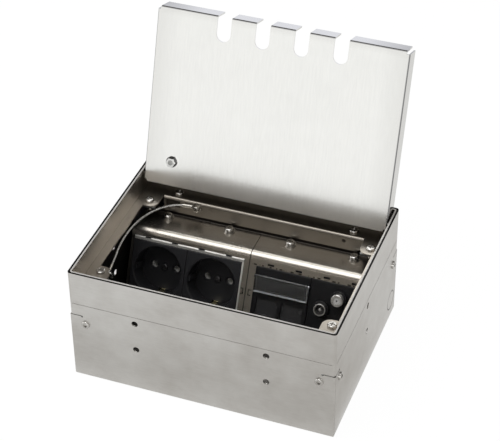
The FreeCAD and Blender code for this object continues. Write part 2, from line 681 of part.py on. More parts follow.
def device_rail():
    """Z-shaped rail: flange under the back ledge, web behind the lip, wider foot under the carriers."""
    web = LIP_FRONT + FRAME_SHEET
    foot_top = FLANGE_TOP - CARRIER_SHEET
    path = [(web + RAIL_TOP_DEPTH, LEDGE_LOW), (web, LEDGE_LOW), (web, foot_top),
            (web - RAIL_FOOT_DEPTH, foot_top)]
    narrow = folded_sheet(path, RAIL_SHEET, RAIL_BEND_R,
                          lambda p: Vector(-LIP_HALF, *p), (2 * LIP_HALF, 0, 0))
    low_path = [(web, foot_top + RAIL_DROP / 3)] + path[2:]
    wide = folded_sheet(low_path, RAIL_SHEET, RAIL_BEND_R,
                        lambda p: Vector(-RAIL_HALF, *p), (2 * RAIL_HALF, 0, 0))
    body = narrow.fuse(wide)
    cuts = []
    for x, y, top in [(p.x, p.y, LEDGE_LOW) for p in rail_screw_places()] + \
            [(p.x, p.y, foot_top) for p in carrier_screw_places()]:
        low = top - RAIL_SHEET - NUT_H
        body = body.fuse(rod(NUT_R, (x, y, low), (x, y, top - 0.5)))
        cuts.append(rod(M4_R + THREAD_FIT, (x, y, low - 1), (x, y, top + 1)))
    cuts.append(rod(M3_R + THREAD_FIT, (EYELET_X, web - 1, EYELET_Z),
                    (EYELET_X, web + RAIL_SHEET + 1, EYELET_Z)))
    return body.removeSplitter().cut(cuts)


def rail_screw_places():
    """Seats of the two rail screws on the back ledge."""
    return [Vector(sx * RAIL_SCREW_X, INNER_Y - RAIL_SCREW_BACK, LEDGE_TOP) for sx in (-1, 1)]


def carrier_screw_places():
    """Seats of the four carrier screws on the carrier flanges."""
    places = []
    for sx in (-1, 1):
        for side in (-0.5, 0.5):
            x = sx * CARRIER_PITCH / 2 + side * CARRIER_SCREW_SPACING
            places.append(Vector(x, CARRIER_SCREW_Y, FLANGE_TOP))
    return places


# ================================================================ carriers
def carrier_left():
    """Folded carrier of the left pair of modules: flange, sloped face with one opening, stiffener."""
    behind = FACE_CENTRE - OUT * MODULE_PROUD
    reach = (FLANGE_TOP - behind.z) / UP.z
    corner = behind + UP * reach
    foot = behind - UP * (MODULE / 2 + CARRIER_MARGIN)
    heel = foot - OUT * CARRIER_STIFFENER
    path = [(LIP_FRONT - CARRIER_BACK_GAP, FLANGE_TOP), (corner.y, corner.z), (foot.y, foot.z),
            (heel.y, heel.z)]
    outer_radii = [CARRIER_BEND_R, CARRIER_SHEET + RAIL_BEND_R]
    near = bent_path(path, outer_radii, lambda p: Vector(-CARRIER_OUTER, *p))
    other = offset_corners(path, CARRIER_SHEET)
    inner_radii = [r - CARRIER_SHEET for r in outer_radii]
    far = bent_path(other, inner_radii, lambda p: Vector(-CARRIER_OUTER, *p))
    caps = [Part.makeLine(Vector(-CARRIER_OUTER, *path[k]), Vector(-CARRIER_OUTER, *other[k]))
            for k in (0, -1)]
    wire = Part.Wire(Part.__sortEdges__(near + far + caps))
    body = Part.Face(wire).extrude(Vector(CARRIER_OUTER - CARRIER_INNER, 0, 0))
    cuts = []
    for seat in carrier_screw_places():
        if seat.x < 0:
            cuts.append(rod(M4_R + CLEAR_FIT, (seat.x, seat.y, seat.z - 3), (seat.x, seat.y, seat.z + 1)))
    half_x, half_y = MODULE + OPENING_CLEAR / 2, MODULE / 2 + OPENING_CLEAR / 2
    flat = [box(-half_x, half_x, -half_y, half_y, -CUT_IN, CUT_OUT)]
    for k in (-1.5, -0.5, 0.5, 1.5):
        x, low = k * MODULE / 2, half_y + LATCH_STRIP
        flat.append(box(x - LATCH_SLOT_WIDTH / 2, x + LATCH_SLOT_WIDTH / 2, low, low + LATCH_SLOT_HEIGHT,
                        -CUT_IN, CUT_OUT))
    inner_edge = CARRIER_PITCH / 2 - CARRIER_INNER
    middle = (inner_edge + half_x) / 2
    left, right = middle - TONGUE_WIDTH / 2, middle + TONGUE_WIDTH / 2
    flat.append(box(left, right, -TONGUE_HEIGHT / 2, -TONGUE_HEIGHT / 2 + TONGUE_SLIT, -CUT_IN, CUT_OUT))
    flat.append(box(left, right, TONGUE_HEIGHT / 2 - TONGUE_SLIT, TONGUE_HEIGHT / 2, -CUT_IN, CUT_OUT))
    flat.append(box(right - TONGUE_SLIT, right, -TONGUE_HEIGHT / 2, TONGUE_HEIGHT / 2, -CUT_IN, CUT_OUT))
    cuts += [on_face(shape, -CARRIER_PITCH / 2) for shape in flat]
    return body.cut(cuts)


def carrier_screws():
    """Four pan-head screws that hold the carriers on the rail."""
    one = screw(M4_HEAD_R, PAN_HEAD, M4_R, CARRIER_SCREW_LENGTH, "cross")
    return group([placed(one, seat + Vector(0, 0, EARTH_WASHER)) for seat in carrier_screw_places()])


def carrier_washers():
    """Four plain washers under the carrier screws."""
    washers = []
    for seat in carrier_screw_places():
        washers.append(tube(M4_HEAD_R + 1.0, M4_R + CLEAR_FIT, seat, seat + Vector(0, 0, EARTH_WASHER)))
    return group(washers)


# ================================================================ module parts, in the module's own frame
def face_plate(thickness):
    """Square module plate with softened front edges and two catches behind the carrier sheet."""
    plate = rounded_prism(MODULE_HALF, MODULE_HALF, -thickness, 0, FACE_CORNER_R)
    rim = [e for e in plate.Edges if e.BoundBox.ZMin > -1e-6]
    plate = plate.makeFillet(FACE_EDGE, rim)
    top = -MODULE_PROUD - CARRIER_SHEET - OPENING_CLEAR
    for x in (-MODULE / 4, MODULE / 4):
        for s in (-1, 1):
            half = LATCH_SLOT_WIDTH / 2
            plate = plate.fuse(box(x - half, x + half, s * (MODULE_HALF - 1), s * (MODULE_HALF + LATCH_REACH),
                                   top - LATCH_DEPTH, top))
    return plate.removeSplitter()


def socket_cup():
    """Round recess with guide ribs, pin holes, earth channels and a square face plate."""
    plate = face_plate(CUP_PLATE)
    barrel = rod(RECESS_R + CUP_WALL, (0, 0, -CUP_BACK), (0, 0, -CUP_PLATE / 2))
    bore = rod(RECESS_R, (0, 0, -RECESS_DEPTH), (0, 0, 1))
    flare = Part.makeCone(RECESS_R, RECESS_R + CUP_RIM_CHAMFER, CUP_RIM_CHAMFER,
                          Vector(0, 0, -CUP_RIM_CHAMFER), Vector(0, 0, 1))
    body = plate.fuse(barrel).removeSplitter().cut([bore, flare])
    for s in (-1, 1):
        rib = box(s * (RECESS_R - GUIDE_HEIGHT), s * (RECESS_R + CUP_WALL / 2),
                  -GUIDE_WIDTH / 2, GUIDE_WIDTH / 2, -RECESS_DEPTH - 1, -GUIDE_TOP)
        body = body.fuse(rib)
    cuts = [rod(M3_R + CLEAR_FIT, (0, 0, -CUP_BACK - 1), (0, 0, 0))]
    for s in (-1, 1):
        x = s * PIN_SPACING / 2
        cuts.append(rod(PIN_HOLE_R, (x, 0, -CUP_BACK - 1), (x, 0, 0)))
        cuts.append(Part.makeCone(PIN_HOLE_R, PIN_HOLE_R + 1.0, 1.0, Vector(x, 0, -RECESS_DEPTH - 1.0)))
        half = STRAP_WIDTH / 2 + CHANNEL_CLEAR
        cuts.append(box(-half, half, s * (STRAP_CONTACT - STRAP_SHEET), s * (STRAP_ARM + STRAP_SHEET),
                        -CUP_BACK - 1, -STRAP_TOP + 0.6))
    return body.removeSplitter().cut(cuts)


def earth_strap():
    """U-shaped earth spring: bar behind the cup floor and two arms with sprung contacts."""
    arm, inner, low = STRAP_ARM, STRAP_CONTACT, -BASE_FRONT
    half = [(arm, low), (arm, -STRAP_KNEE), (inner, -STRAP_WAIST), (arm, -STRAP_TOP)]
    path = [(-v, w) for v, w in reversed(half)] + half
    strip = folded_sheet(path, STRAP_SHEET, STRAP_BEND_R,
                         lambda p: Vector(-STRAP_WIDTH / 2, *p), (STRAP_WIDTH, 0, 0))
    return strip.cut(rod(M3_R + CLEAR_FIT, (0, 0, low - 1), (0, 0, low + 2)))


def socket_base():
    """Terminal block behind the cup, with the contact bores and terminal holes."""
    body = box(-BASE_WIDTH / 2, BASE_WIDTH / 2, -BASE_HEIGHT / 2, BASE_HEIGHT / 2,
               -BASE_FRONT - BASE_DEPTH, -BASE_FRONT)
    back = [e for e in body.Edges if e.BoundBox.ZMax < -BASE_FRONT - BASE_DEPTH + 1e-6]
    body = body.makeChamfer(1.5, back)
    cuts = [rod(M3_R + THREAD_FIT, (0, 0, -BASE_FRONT - 9), (0, 0, 0))]
    sleeve_r = PIN_R + SLEEVE_CLEAR + SLEEVE_WALL
    for s in (-1, 1):
        x = s * PIN_SPACING / 2
        cuts.append(rod(sleeve_r + THREAD_FIT, (x, 0, -BASE_FRONT - SLEEVE_LENGTH - 0.5), (x, 0, 0)))
    for seat in terminal_places():
        cuts.append(rod(TERMINAL_R + THREAD_FIT, seat, seat - Vector(0, TERMINAL_LENGTH + 1, 0)))
        low = Vector(seat.x, -BASE_HEIGHT / 2 - 1, seat.z)
        cuts.append(rod(TERMINAL_R + 0.6, low, low + Vector(0, 9, 0)))
    return body.cut(cuts)


def terminal_places():
    """Three terminal screw seats on the upper side of the base."""
    return [Vector(x, BASE_HEIGHT / 2, -BASE_FRONT - BASE_DEPTH / 2)
            for x in (-PIN_SPACING / 2, 0, PIN_SPACING / 2)]


def pin_sleeves():
    """Two round contact sleeves behind the pin holes."""
    bore = PIN_R + SLEEVE_CLEAR
    top = -CUP_BACK - 0.1
    return [tube(bore + SLEEVE_WALL, bore, (s * PIN_SPACING / 2, 0, -BASE_FRONT - SLEEVE_LENGTH),
                 (s * PIN_SPACING / 2, 0, top)) for s in (-1, 1)]


def centre_screw():
    """Screw through the cup floor, the earth strap and the base."""
    return placed(screw(M3_HEAD_R, LOW_HEAD, M3_R, CUP_FLOOR + STRAP_SHEET + SOCKET_SCREW_ENTRY, "cross"),
                  (0, 0, -RECESS_DEPTH))


def terminal_screws():
    """Three terminal screws of one socket."""
    one = screw(TERMINAL_HEAD_R, 1.3, TERMINAL_R, TERMINAL_LENGTH, "cross")
    return [placed(one, seat, (0, 1, 0)) for seat in terminal_places()]


def data_frame():
    """Data module plate: label field, window ears, two shuttered openings and shutter tracks."""
    body = face_plate(DATA_PLATE)
    ear_x = MODULE_HALF - EAR_WIDTH
    for s in (-1, 1):
        ear = rod(WINDOW_BARREL_R, (s * ear_x, WINDOW_PIN_AT, WINDOW_AXIS_OUT),
                  (s * MODULE_HALF, WINDOW_PIN_AT, WINDOW_AXIS_OUT))
        post = box(s * ear_x, s * MODULE_HALF,
                   WINDOW_PIN_AT - WINDOW_BARREL_R, WINDOW_PIN_AT + WINDOW_BARREL_R,
                   -FACE_EDGE, WINDOW_AXIS_OUT)
        body = body.fuse([ear, post])
    cuts = [rod(WINDOW_PIN_R + WINDOW_FIT, (-MODULE_HALF - 1, WINDOW_PIN_AT, WINDOW_AXIS_OUT),
                (MODULE_HALF + 1, WINDOW_PIN_AT, WINDOW_AXIS_OUT))]
    field = WINDOW_WIDTH / 2 - LABEL_INSET
    cuts.append(box(-field, field, WINDOW_LOW + LABEL_LAND, LABEL_TOP, -LABEL_RECESS, 1))
    barrel_half = WINDOW_WIDTH / 2 + SHUTTER_CLEAR
    cuts.append(box(-barrel_half, barrel_half, WINDOW_PIN_AT - WINDOW_BARREL_R - SHUTTER_CLEAR, LABEL_TOP,
                    -LABEL_RECESS, 1))
    front = -SHUTTER_DEPTH + SHUTTER_CLEAR
    back = -SHUTTER_DEPTH - SHUTTER_SHEET - SHUTTER_CLEAR
    for s in (-1, 1):
        x = s * PORT_SPACING / 2
        half = PORT_WIDTH / 2
        low, high = PORT_CENTRE - PORT_HEIGHT / 2, PORT_CENTRE + PORT_HEIGHT / 2
        cuts.append(box(x - half, x + half, low, high, front - 1, 1))
        track = SHUTTER_HALF + SHUTTER_CLEAR
        cuts.append(box(x - track, x + track, SHUTTER_LOW - SHUTTER_STOP,
                        SHUTTER_HIGH + SHUTTER_TRAVEL + SHUTTER_STOP, back, front))
        half_x, half_y = JACK_WIDTH / 2 + JACK_CLEAR, JACK_HEIGHT / 2 + JACK_CLEAR
        cuts.append(box(x - half_x, x + half_x, PORT_CENTRE - half_y, PORT_CENTRE + half_y,
                        -DATA_PLATE - 1, back + 1))
    return body.cut(cuts)


def shutter():
    """Sliding dust shutter with a finger ridge, centred on its opening."""
    top = -SHUTTER_DEPTH
    plate = box(-SHUTTER_HALF, SHUTTER_HALF, SHUTTER_LOW, SHUTTER_HIGH, top - SHUTTER_SHEET, top)
    low = PORT_CENTRE - PORT_HEIGHT / 2 + RIDGE_UP - RIDGE_HEIGHT / 2
    ridge = [(-RIDGE_WIDTH / 2, low, top - 0.2), (-RIDGE_WIDTH / 2, low + RIDGE_HEIGHT, top - 0.2),
             (-RIDGE_WIDTH / 2, low + RIDGE_HEIGHT - 0.3, top + RIDGE_HEIGHT),
             (-RIDGE_WIDTH / 2, low + 0.3, top + RIDGE_HEIGHT)]
    return plate.fuse(polygon_prism(ridge, (RIDGE_WIDTH, 0, 0))).removeSplitter()


def rj45_jack():
    """Jack body with its plug cavity, latch groove and rear cable stub, centred on its opening."""
    top = -SHUTTER_DEPTH - SHUTTER_SHEET - SHUTTER_CLEAR - JACK_CLEAR
    half_x, half_y = JACK_WIDTH / 2, JACK_HEIGHT / 2
    body = box(-half_x, half_x, PORT_CENTRE - half_y, PORT_CENTRE + half_y, top - JACK_DEPTH, top)
    back = [e for e in body.Edges if e.BoundBox.ZMax < top - JACK_DEPTH + 1e-6]
    body = body.makeChamfer(2.0, back)
    plug = box(-PLUG_WIDTH / 2, PLUG_WIDTH / 2, PORT_CENTRE - PLUG_HEIGHT / 2, PORT_CENTRE + PLUG_HEIGHT / 2,
               top - PLUG_DEPTH, top + 1)
    low = PORT_CENTRE - PLUG_HEIGHT / 2 - LATCH_HEIGHT
    latch = box(-LATCH_WIDTH / 2, LATCH_WIDTH / 2, low, low + LATCH_HEIGHT + 1, top - PLUG_DEPTH, top + 1)
    return body.cut([plug, latch])


def label_strip():
    """Paper strip in the label field."""
    half = WINDOW_WIDTH / 2 - LABEL_INSET - SHUTTER_CLEAR
    low = WINDOW_LOW + LABEL_LAND + SHUTTER_CLEAR
    high = WINDOW_PIN_AT - WINDOW_BARREL_R - SHUTTER_CLEAR
    return box(-half, half, low, high, -LABEL_RECESS, -LABEL_RECESS + LABEL_PAPER)


def label_window():
    """Clear wedge-shaped cover with a hinge barrel along its top edge and a pin at each end."""
    half = WINDOW_WIDTH / 2
    axis = WINDOW_AXIS_OUT
    top = WINDOW_PIN_AT
    outline = [(-half, WINDOW_LOW, WINDOW_GAP), (-half, top, WINDOW_GAP),
               (-half, top, axis + WINDOW_BARREL_R),
               (-half, WINDOW_LOW, WINDOW_PROUD)]
    body = polygon_prism(outline, (2 * half, 0, 0))
    sheet = WINDOW_SHEET
    inner = [(-half + sheet, WINDOW_LOW + sheet, -1), (-half + sheet, top - WINDOW_BARREL_R - 0.2, -1),
             (-half + sheet, top - WINDOW_BARREL_R - 0.2, axis + WINDOW_BARREL_R - sheet),
             (-half + sheet, WINDOW_LOW + sheet, WINDOW_PROUD - sheet)]
    body = body.cut(polygon_prism(inner, (2 * (half - sheet), 0, 0)))
    body = body.fuse(rod(WINDOW_BARREL_R, (-half, top, axis), (half, top, axis)))
    for s in (-1, 1):
        body = body.fuse(rod(WINDOW_PIN_R, (s * (half - 1), top, axis), (s * (MODULE_HALF - 0.1), top, axis)))
    return body.removeSplitter()


def antenna_plate():
    """Antenna module plate with a round boss and a hole for each connector."""
    body = face_plate(ANTENNA_PLATE)
    bosses = [rod(BOSS_R, (x, y, -1), (x, y, BOSS_HEIGHT)) for x, y in connector_places()]
    body = body.fuse(bosses)
    edges = [e for e in body.Edges if e.BoundBox.ZMin > BOSS_HEIGHT - 1e-6]
    body = body.makeFillet(FACE_EDGE, edges)
    return body.cut([rod(COAX_R + SHUTTER_CLEAR, (x, y, -ANTENNA_PLATE - 1), (x, y, BOSS_HEIGHT + 1))
                     for x, y in connector_places()])


def connector_places():
    """Middles of the television, radio and satellite connectors on the module face."""
    return [(-COAX_SPREAD, COAX_LEVEL), (COAX_SPREAD, COAX_LEVEL), (SAT_OFFSET, SAT_LEVEL)]


def antenna_housing():
    """Die-cast can behind the antenna plate, with cable entries on its lower side."""
    top = -ANTENNA_PLATE
    body = box(-CAN_WIDTH / 2, CAN_WIDTH / 2, -CAN_HEIGHT / 2, CAN_HEIGHT / 2, top - CAN_DEPTH, top)
    edges = [e for e in body.Edges if e.BoundBox.ZMin < top - 1]
    body = body.makeFillet(CAN_R, edges)
    seats = [rod(COAX_R + THREAD_FIT, (x, y, top - COAX_ROOT), (x, y, top + 1))
             for x, y in connector_places()]
    entry_z = top - CAN_DEPTH / 2
    entries = [rod(CAN_ENTRY_R, (x, -CAN_HEIGHT / 2 - 1, entry_z),
                   (x, -CAN_HEIGHT / 2 + CAN_ENTRY_DEPTH, entry_z)) for x in (-CAN_ENTRY_X, CAN_ENTRY_X)]
    return body.cut(seats + entries)


def coax_ring(at, bore):
    """Coaxial connector shell, rising from the can through the plate."""
    x, y = at
    low = -ANTENNA_PLATE - COAX_ROOT
    shell = rod(COAX_R, (x, y, low), (x, y, COAX_OUT))
    rim = [e for e in shell.Edges if e.BoundBox.ZMin > COAX_OUT - 1e-6]
    shell = shell.makeFillet(0.25, rim)
    return shell.cut(rod(bore, (x, y, low + 1.5), (x, y, COAX_OUT + 1)))


def tv_connector():
    """Television connector: ring with a centre pin."""
    at = connector_places()[0]
    pin = rod(COAX_PIN_R, (at[0], at[1], -ANTENNA_PLATE - COAX_ROOT + 0.5), (at[0], at[1], COAX_OUT - 0.6))
    tip = [e for e in pin.Edges if e.BoundBox.ZMin > COAX_OUT - 0.7]
    return coax_ring(at, COAX_R - COAX_WALL).fuse(pin.makeFillet(0.5, tip))


def radio_connector():
    """Radio connector: ring with an inner contact tube."""
    at = connector_places()[1]
    low = -ANTENNA_PLATE - COAX_ROOT + 0.5
    inner = tube(COAX_PIN_R + 0.8, COAX_PIN_R + 0.1, (at[0], at[1], low), (at[0], at[1], COAX_OUT - 1.0))
    return coax_ring(at, COAX_R - COAX_WALL).fuse(inner)


def sat_connector():
    """Satellite connector: threaded barrel with a small insulated bore."""
    x, y = connector_places()[2]
    low = -ANTENNA_PLATE - COAX_ROOT
    body = rod(COAX_R, (x, y, low), (x, y, SAT_OUT))
    rim = [e for e in body.Edges if e.BoundBox.ZMin > SAT_OUT - 1e-6]
    body = body.makeChamfer(0.4, rim)
    cuts = [rod(SAT_BORE_R, (x, y, low + 1.5), (x, y, SAT_OUT + 1))]
    turns = int((SAT_OUT - BOSS_HEIGHT - 1.0) / (2 * SAT_THREAD))
    for k in range(turns):
        z = BOSS_HEIGHT + 0.5 + 2 * SAT_THREAD * k
        cuts.append(tube(COAX_R + 1, COAX_R - 0.3, (x, y, z), (x, y, z + SAT_THREAD)))
    return body.cut(cuts)


def connector_insulators():
    """Plastic insulators inside the three connectors."""
    rings = []
    low = -ANTENNA_PLATE - COAX_ROOT + 1.6
    bores = (COAX_R - COAX_WALL, COAX_R - COAX_WALL, SAT_BORE_R)
    holes = (COAX_PIN_R + 0.05, COAX_PIN_R + 0.85, 0.7)
    tops = (0.0, 0.0, SAT_OUT - 0.3)
    for (x, y), bore, hole, top in zip(connector_places(), bores, holes, tops):
        rings.append(tube(bore - THREAD_FIT, hole, (x, y, low), (x, y, top)))
    return rings


# ================================================================ wire rope and its fittings
def rope_path(points, ratio=0.45, radius=None):
    """Wire of straight runs joined by tangent arcs; prints the length and the radii."""
    points = [Vector(*p) for p in points]
    edges, radii, cursor = [], [], points[0]
    for a, b, c in zip(points, points[1:], points[2:]):
        to_a, to_c = (a - b).normalize(), (c - b).normalize()
        half = to_a.getAngle(to_c) / 2
        back = ratio * min((a - b).Length, (c - b).Length) if radius is None else radius / math.tan(half)
        bend = back * math.tan(half)
        radii.append(round(bend, 1))
        start, end = b + to_a * back, b + to_c * back
        middle = b + (to_a + to_c).normalize() * (bend / math.sin(half) - bend)
        edges.append(Part.makeLine(cursor, start))
        edges.append(Part.Arc(start, middle, end).toShape())
        cursor = end
    edges.append(Part.makeLine(cursor, points[-1]))
    wire = Part.Wire(edges)
    print("path length %.1f, radii %s" % (wire.Length, radii))
    return wire


def round_tube(wire, radius):
    """Round rod swept along a wire."""
    start = wire.Vertexes[0].Point
    heading = wire.Edges[0].tangentAt(wire.Edges[0].FirstParameter)
    circle = Part.Wire(Part.makeCircle(radius, start, heading))
    return wire.makePipeShell([circle], True, True)


def ferrule_line():
    """Two ends of the front ferrule, in line with the first run of the rope."""
    first, second = Vector(*ROPE_POINTS[0]), Vector(*ROPE_POINTS[1])
    heading = (second - first).normalize()
    return first - heading * FERRULE_LENGTH / 4, first + heading * FERRULE_LENGTH * 3 / 4


def rope_ferrule():
    """Crimped ferrule at the front end of the rope."""
    start, end = ferrule_line()
    return tube(FERRULE_R, ROPE_R + SOCKETED_FIT, start, end)


def rope_hook():
    """Bent wire from the ferrule over the edge of the ledge lug."""
    start, end = ferrule_line()
    heading = (end - start).normalize()
    first = start + heading * (FERRULE_LENGTH / 4 - 0.4)
    turn = start - heading * 2.2
    side = -LUG_X + HOOK_CLEAR
    path = [first, turn, (side, turn.y - 0.6, turn.z - 0.1), (side, turn.y + 1.4, LEDGE_LOW - 3.0),
            (side - 2.6, turn.y + 2.6, LEDGE_LOW - 4.2)]
    return round_tube(rope_path(path, radius=HOOK_BEND_R), HOOK_R)


def rope_terminal():
    """Crimp barrel with a flat ring that the rope screw clamps to the lip."""
    before, last = Vector(*ROPE_POINTS[-2]), Vector(*ROPE_POINTS[-1])
    heading = (last - before).normalize()
    mouth = last - heading * ROPE_GRIP
    barrel = rod(BARREL_R, mouth, mouth + heading * BARREL_LENGTH)
    back = LIP_FRONT - LOCK_WASHER
    ring = rod(EYELET_R, (EYELET_X, back - EYELET_SHEET, EYELET_Z), (EYELET_X, back, EYELET_Z))
    strap = box(last.x - 1.5, EYELET_X, back - EYELET_SHEET, back, last.z - BARREL_R, last.z + BARREL_R - 0.3)
    body = barrel.fuse([ring, strap]).removeSplitter()
    hole = rod(M3_R + CLEAR_FIT, (EYELET_X, back - 3, EYELET_Z), (EYELET_X, back + 1, EYELET_Z))
    bore = rod(ROPE_R + SOCKETED_FIT, mouth - heading, last + heading * 0.3)
    behind = box(last.x - 5, EYELET_X + 5, back, back + 5, EYELET_Z - 5, EYELET_Z + 5)
    return body.cut([hole, bore, behind])


def rope_screw():
    """Screw that clamps the rope terminal to the lip."""
    seat = (EYELET_X, LIP_FRONT - LOCK_WASHER - EYELET_SHEET, EYELET_Z)
    length = LOCK_WASHER + EYELET_SHEET + FRAME_SHEET + RAIL_SHEET + 1.5
    one = screw(M3_HEAD_R, EYELET_HEAD, M3_R, length, "cross")
    return placed(one, seat, (0, -1, 0))


def rope_lock_washer():
    """Toothed lock washer between the rope terminal and the lip."""
    near, far = (EYELET_X, LIP_FRONT - LOCK_WASHER, EYELET_Z), (EYELET_X, LIP_FRONT, EYELET_Z)
    body = tube(LOCK_WASHER_R + 0.5, M3_R + CLEAR_FIT, near, far)
    slots = []
    for k in range(LOCK_TEETH):
        turn = Rotation(Vector(0, 1, 0), 360.0 * k / LOCK_TEETH)
        slot = box(LOCK_WASHER_R - 1.0, LOCK_WASHER_R + 1, -1, LOCK_WASHER + 1,
                   -TOOTH_SLOT / 2, TOOTH_SLOT / 2)
        slot.Placement = Placement(Vector(*near), turn)
        slots.append(slot)
    return body.cut(slots)


# ================================================================ lid
def opened(shape):
    """Turn a lid part from its closed place to the open stop."""
    result = shape.copy()
    result.rotate(HINGE, Vector(1, 0, 0), -LID_OPEN)
    return result


def lid_pan():
    """Folded pan with four cable notches, open corners, hinge holes and the earth screw hole."""
    body = box(-LID_HALF, LID_HALF, LID_FRONT, LID_BACK, LID_LOW, LID_TOP)
    body = body.makeFillet(LID_BEND_R + LID_SHEET,
                           [e for e in body.Edges if e.BoundBox.ZMax < LID_LOW + 1e-6])
    t = LID_SHEET
    cavity = box(-LID_HALF + t, LID_HALF - t, LID_FRONT + t, LID_BACK - t, LID_LOW + t, LID_TOP + 1)
    low = [e for e in cavity.Edges if e.BoundBox.ZMax < LID_LOW + t + 1e-6]
    cuts = [cavity.makeFillet(LID_BEND_R, low)]
    r = LID_CORNER_RELIEF
    for sx in (-1, 1):
        for y, sy in ((LID_FRONT, -1), (LID_BACK, 1)):
            cuts.append(box(sx * (LID_HALF - r), sx * (LID_HALF + 1), y - sy * r, y + sy,
                            LID_LOW - 1, LID_TOP + 1))
        cuts.append(rod(HINGE_PIN_R + HINGE_FIT, (sx * (LID_HALF + 1), HINGE.y, HINGE.z),
                        (sx * (LID_HALF - t - 1), HINGE.y, HINGE.z)))
    for k in range(NOTCH_COUNT):
        x = NOTCH_SHIFT + (k - (NOTCH_COUNT - 1) / 2) * NOTCH_PITCH
        cuts.append(notch(x))
    cuts.append(rod(M4_R + CLEAR_FIT, (EARTH_X, LID_EARTH_Y, LID_LOW - 1),
                    (EARTH_X, LID_EARTH_Y, LID_LOW + t + 1)))
    return body.cut(cuts)


def notch(x):
    """Full-round cable notch through the front flange and the plate."""
    end = LID_FRONT + NOTCH_REACH - NOTCH_WIDTH / 2
    throat = box(x - NOTCH_WIDTH / 2, x + NOTCH_WIDTH / 2, LID_FRONT - 1, end, LID_LOW - 1, LID_TOP + 1)
    return throat.fuse(rod(NOTCH_WIDTH / 2, (x, end, LID_LOW - 1), (x, end, LID_TOP + 1)))


def hinge_pins():
    """Two shouldered pins pressed into the frame walls, with the lid flanges turning on them."""
    pins = []
    for s in (-1, 1):
        def at(x):
            return Vector(s * x, HINGE.y, HINGE.z)
        pin = rod(HINGE_PIN_R, at(INNER_X + FRAME_SHEET), at(LID_HALF - LID_SHEET - HINGE_SIDE_PLAY - 0.2))
        shoulder = rod(HINGE_HEAD_R, at(INNER_X), at(LID_HALF + HINGE_SIDE_PLAY))
        inner = LID_HALF - LID_SHEET - HINGE_SIDE_PLAY
        pins.append(pin.fuse([shoulder, rod(HINGE_HEAD_R, at(inner), at(inner - HINGE_HEAD))]))
    return group(pins)


def lid_earth_screw():
    """Screw through the lid plate with its head in the pan."""
    length = LID_SHEET + EARTH_WASHER + EARTH_NUT + EARTH_END
    return placed(screw(M4_HEAD_R, LOW_HEAD, M4_R, length, "cross"),
                  (EARTH_X, LID_EARTH_Y, LID_LOW + LID_SHEET))


def lid_earth_washer():
    """Washer on the underside of the lid."""
    return tube(EARTH_WASHER_R, M4_R + THREAD_FIT, (EARTH_X, LID_EARTH_Y, LID_LOW - EARTH_WASHER),
                (EARTH_X, LID_EARTH_Y, LID_LOW))


def lid_earth_nut():
    """Hexagon nut on the underside of the lid."""
    high = LID_LOW - EARTH_WASHER
    corners = [(EARTH_X + EARTH_NUT_R * math.cos(math.radians(60 * k)),
                LID_EARTH_Y + EARTH_NUT_R * math.sin(math.radians(60 * k)), high - EARTH_NUT)
               for k in range(6)]
    body = polygon_prism(corners, (0, 0, EARTH_NUT))
    return body.cut(rod(M4_R + THREAD_FIT, (EARTH_X, LID_EARTH_Y, high - EARTH_NUT - 1),
                        (EARTH_X, LID_EARTH_Y, high + 1)))


def on_modules(parts, places):
    """The same module parts at several module places, as one node."""
    return group([on_face(part, x) for x in places for part in parts])


def main():
    """Build and export every node."""
    os.makedirs("parts", exist_ok=True)
    export("outer_housing", outer_housing())
    export("inner_frame", inner_frame())
    export("device_rail", device_rail())
    front = corner_bracket(FRONT_LUG_Y, FRONT_SCREW_Y)
    back = mirrored_y(corner_bracket(LUG_Y, LEDGE_SCREW_Y))
    export("corner_bracket_front_left", front)
    export("corner_bracket_front_right", mirrored_x(front))
    export("corner_bracket_back_left", back)
    export("corner_bracket_back_right", mirrored_x(back))
    export("ledge_screws", ledge_screws())
    export("rail_screws", rail_screws())
    export("side_screws", side_screws())
    carrier = carrier_left()
    export("carrier_left", carrier)
    export("carrier_right", mirrored_x(carrier))
    export("carrier_screws", carrier_screws())
    export("carrier_washers", carrier_washers())

    places = [side * CARRIER_PITCH / 2 + step * MODULE for side in (-1, 1) for step in (-0.5, 0.5)]
    sockets, data_x, antenna_x = places[:2], places[2], places[3]
    for number, x in enumerate(sockets, 1):
        export("socket_cup_%d" % number, on_face(socket_cup(), x))
        export("socket_base_%d" % number, on_face(socket_base(), x))
        export("earth_strap_%d" % number, on_face(earth_strap(), x))
    export("pin_contacts", on_modules(pin_sleeves(), sockets))
    export("socket_screws", on_modules([centre_screw()], sockets))
    export("terminal_screws", on_modules(terminal_screws(), sockets))

    export("data_frame", on_face(data_frame(), data_x))
    for side, name in ((-1, "left"), (1, "right")):
        port = data_x + side * PORT_SPACING / 2
        export("rj45_jack_" + name, on_face(rj45_jack(), port))
        export("shutter_" + name, on_face(shutter(), port))
    export("label_strip", on_face(label_strip(), data_x))
    export("label_window", on_face(label_window(), data_x))

    export("antenna_plate", on_face(antenna_plate(), antenna_x))
    export("antenna_housing", on_face(antenna_housing(), antenna_x))
    export("tv_connector", on_face(tv_connector(), antenna_x))
    export("radio_connector", on_face(radio_connector(), antenna_x))
    export("sat_connector", on_face(sat_connector(), antenna_x))
    export("connector_insulators", on_modules(connector_insulators(), [antenna_x]))

    export("wire_rope", round_tube(rope_path(ROPE_POINTS), ROPE_R))
    export("rope_ferrule", rope_ferrule())
    export("rope_hook", rope_hook())
    export("rope_terminal", rope_terminal())
    export("rope_screw", rope_screw())
    export("rope_lock_washer", rope_lock_washer())

    export("hinge_pins", hinge_pins())
    export("lid_pan", opened(lid_pan()))
    export("lid_earth_screw", opened(lid_earth_screw()))
    export("lid_earth_washer", opened(lid_earth_washer()))
    export("lid_earth_nut", opened(lid_earth_nut()))


main()
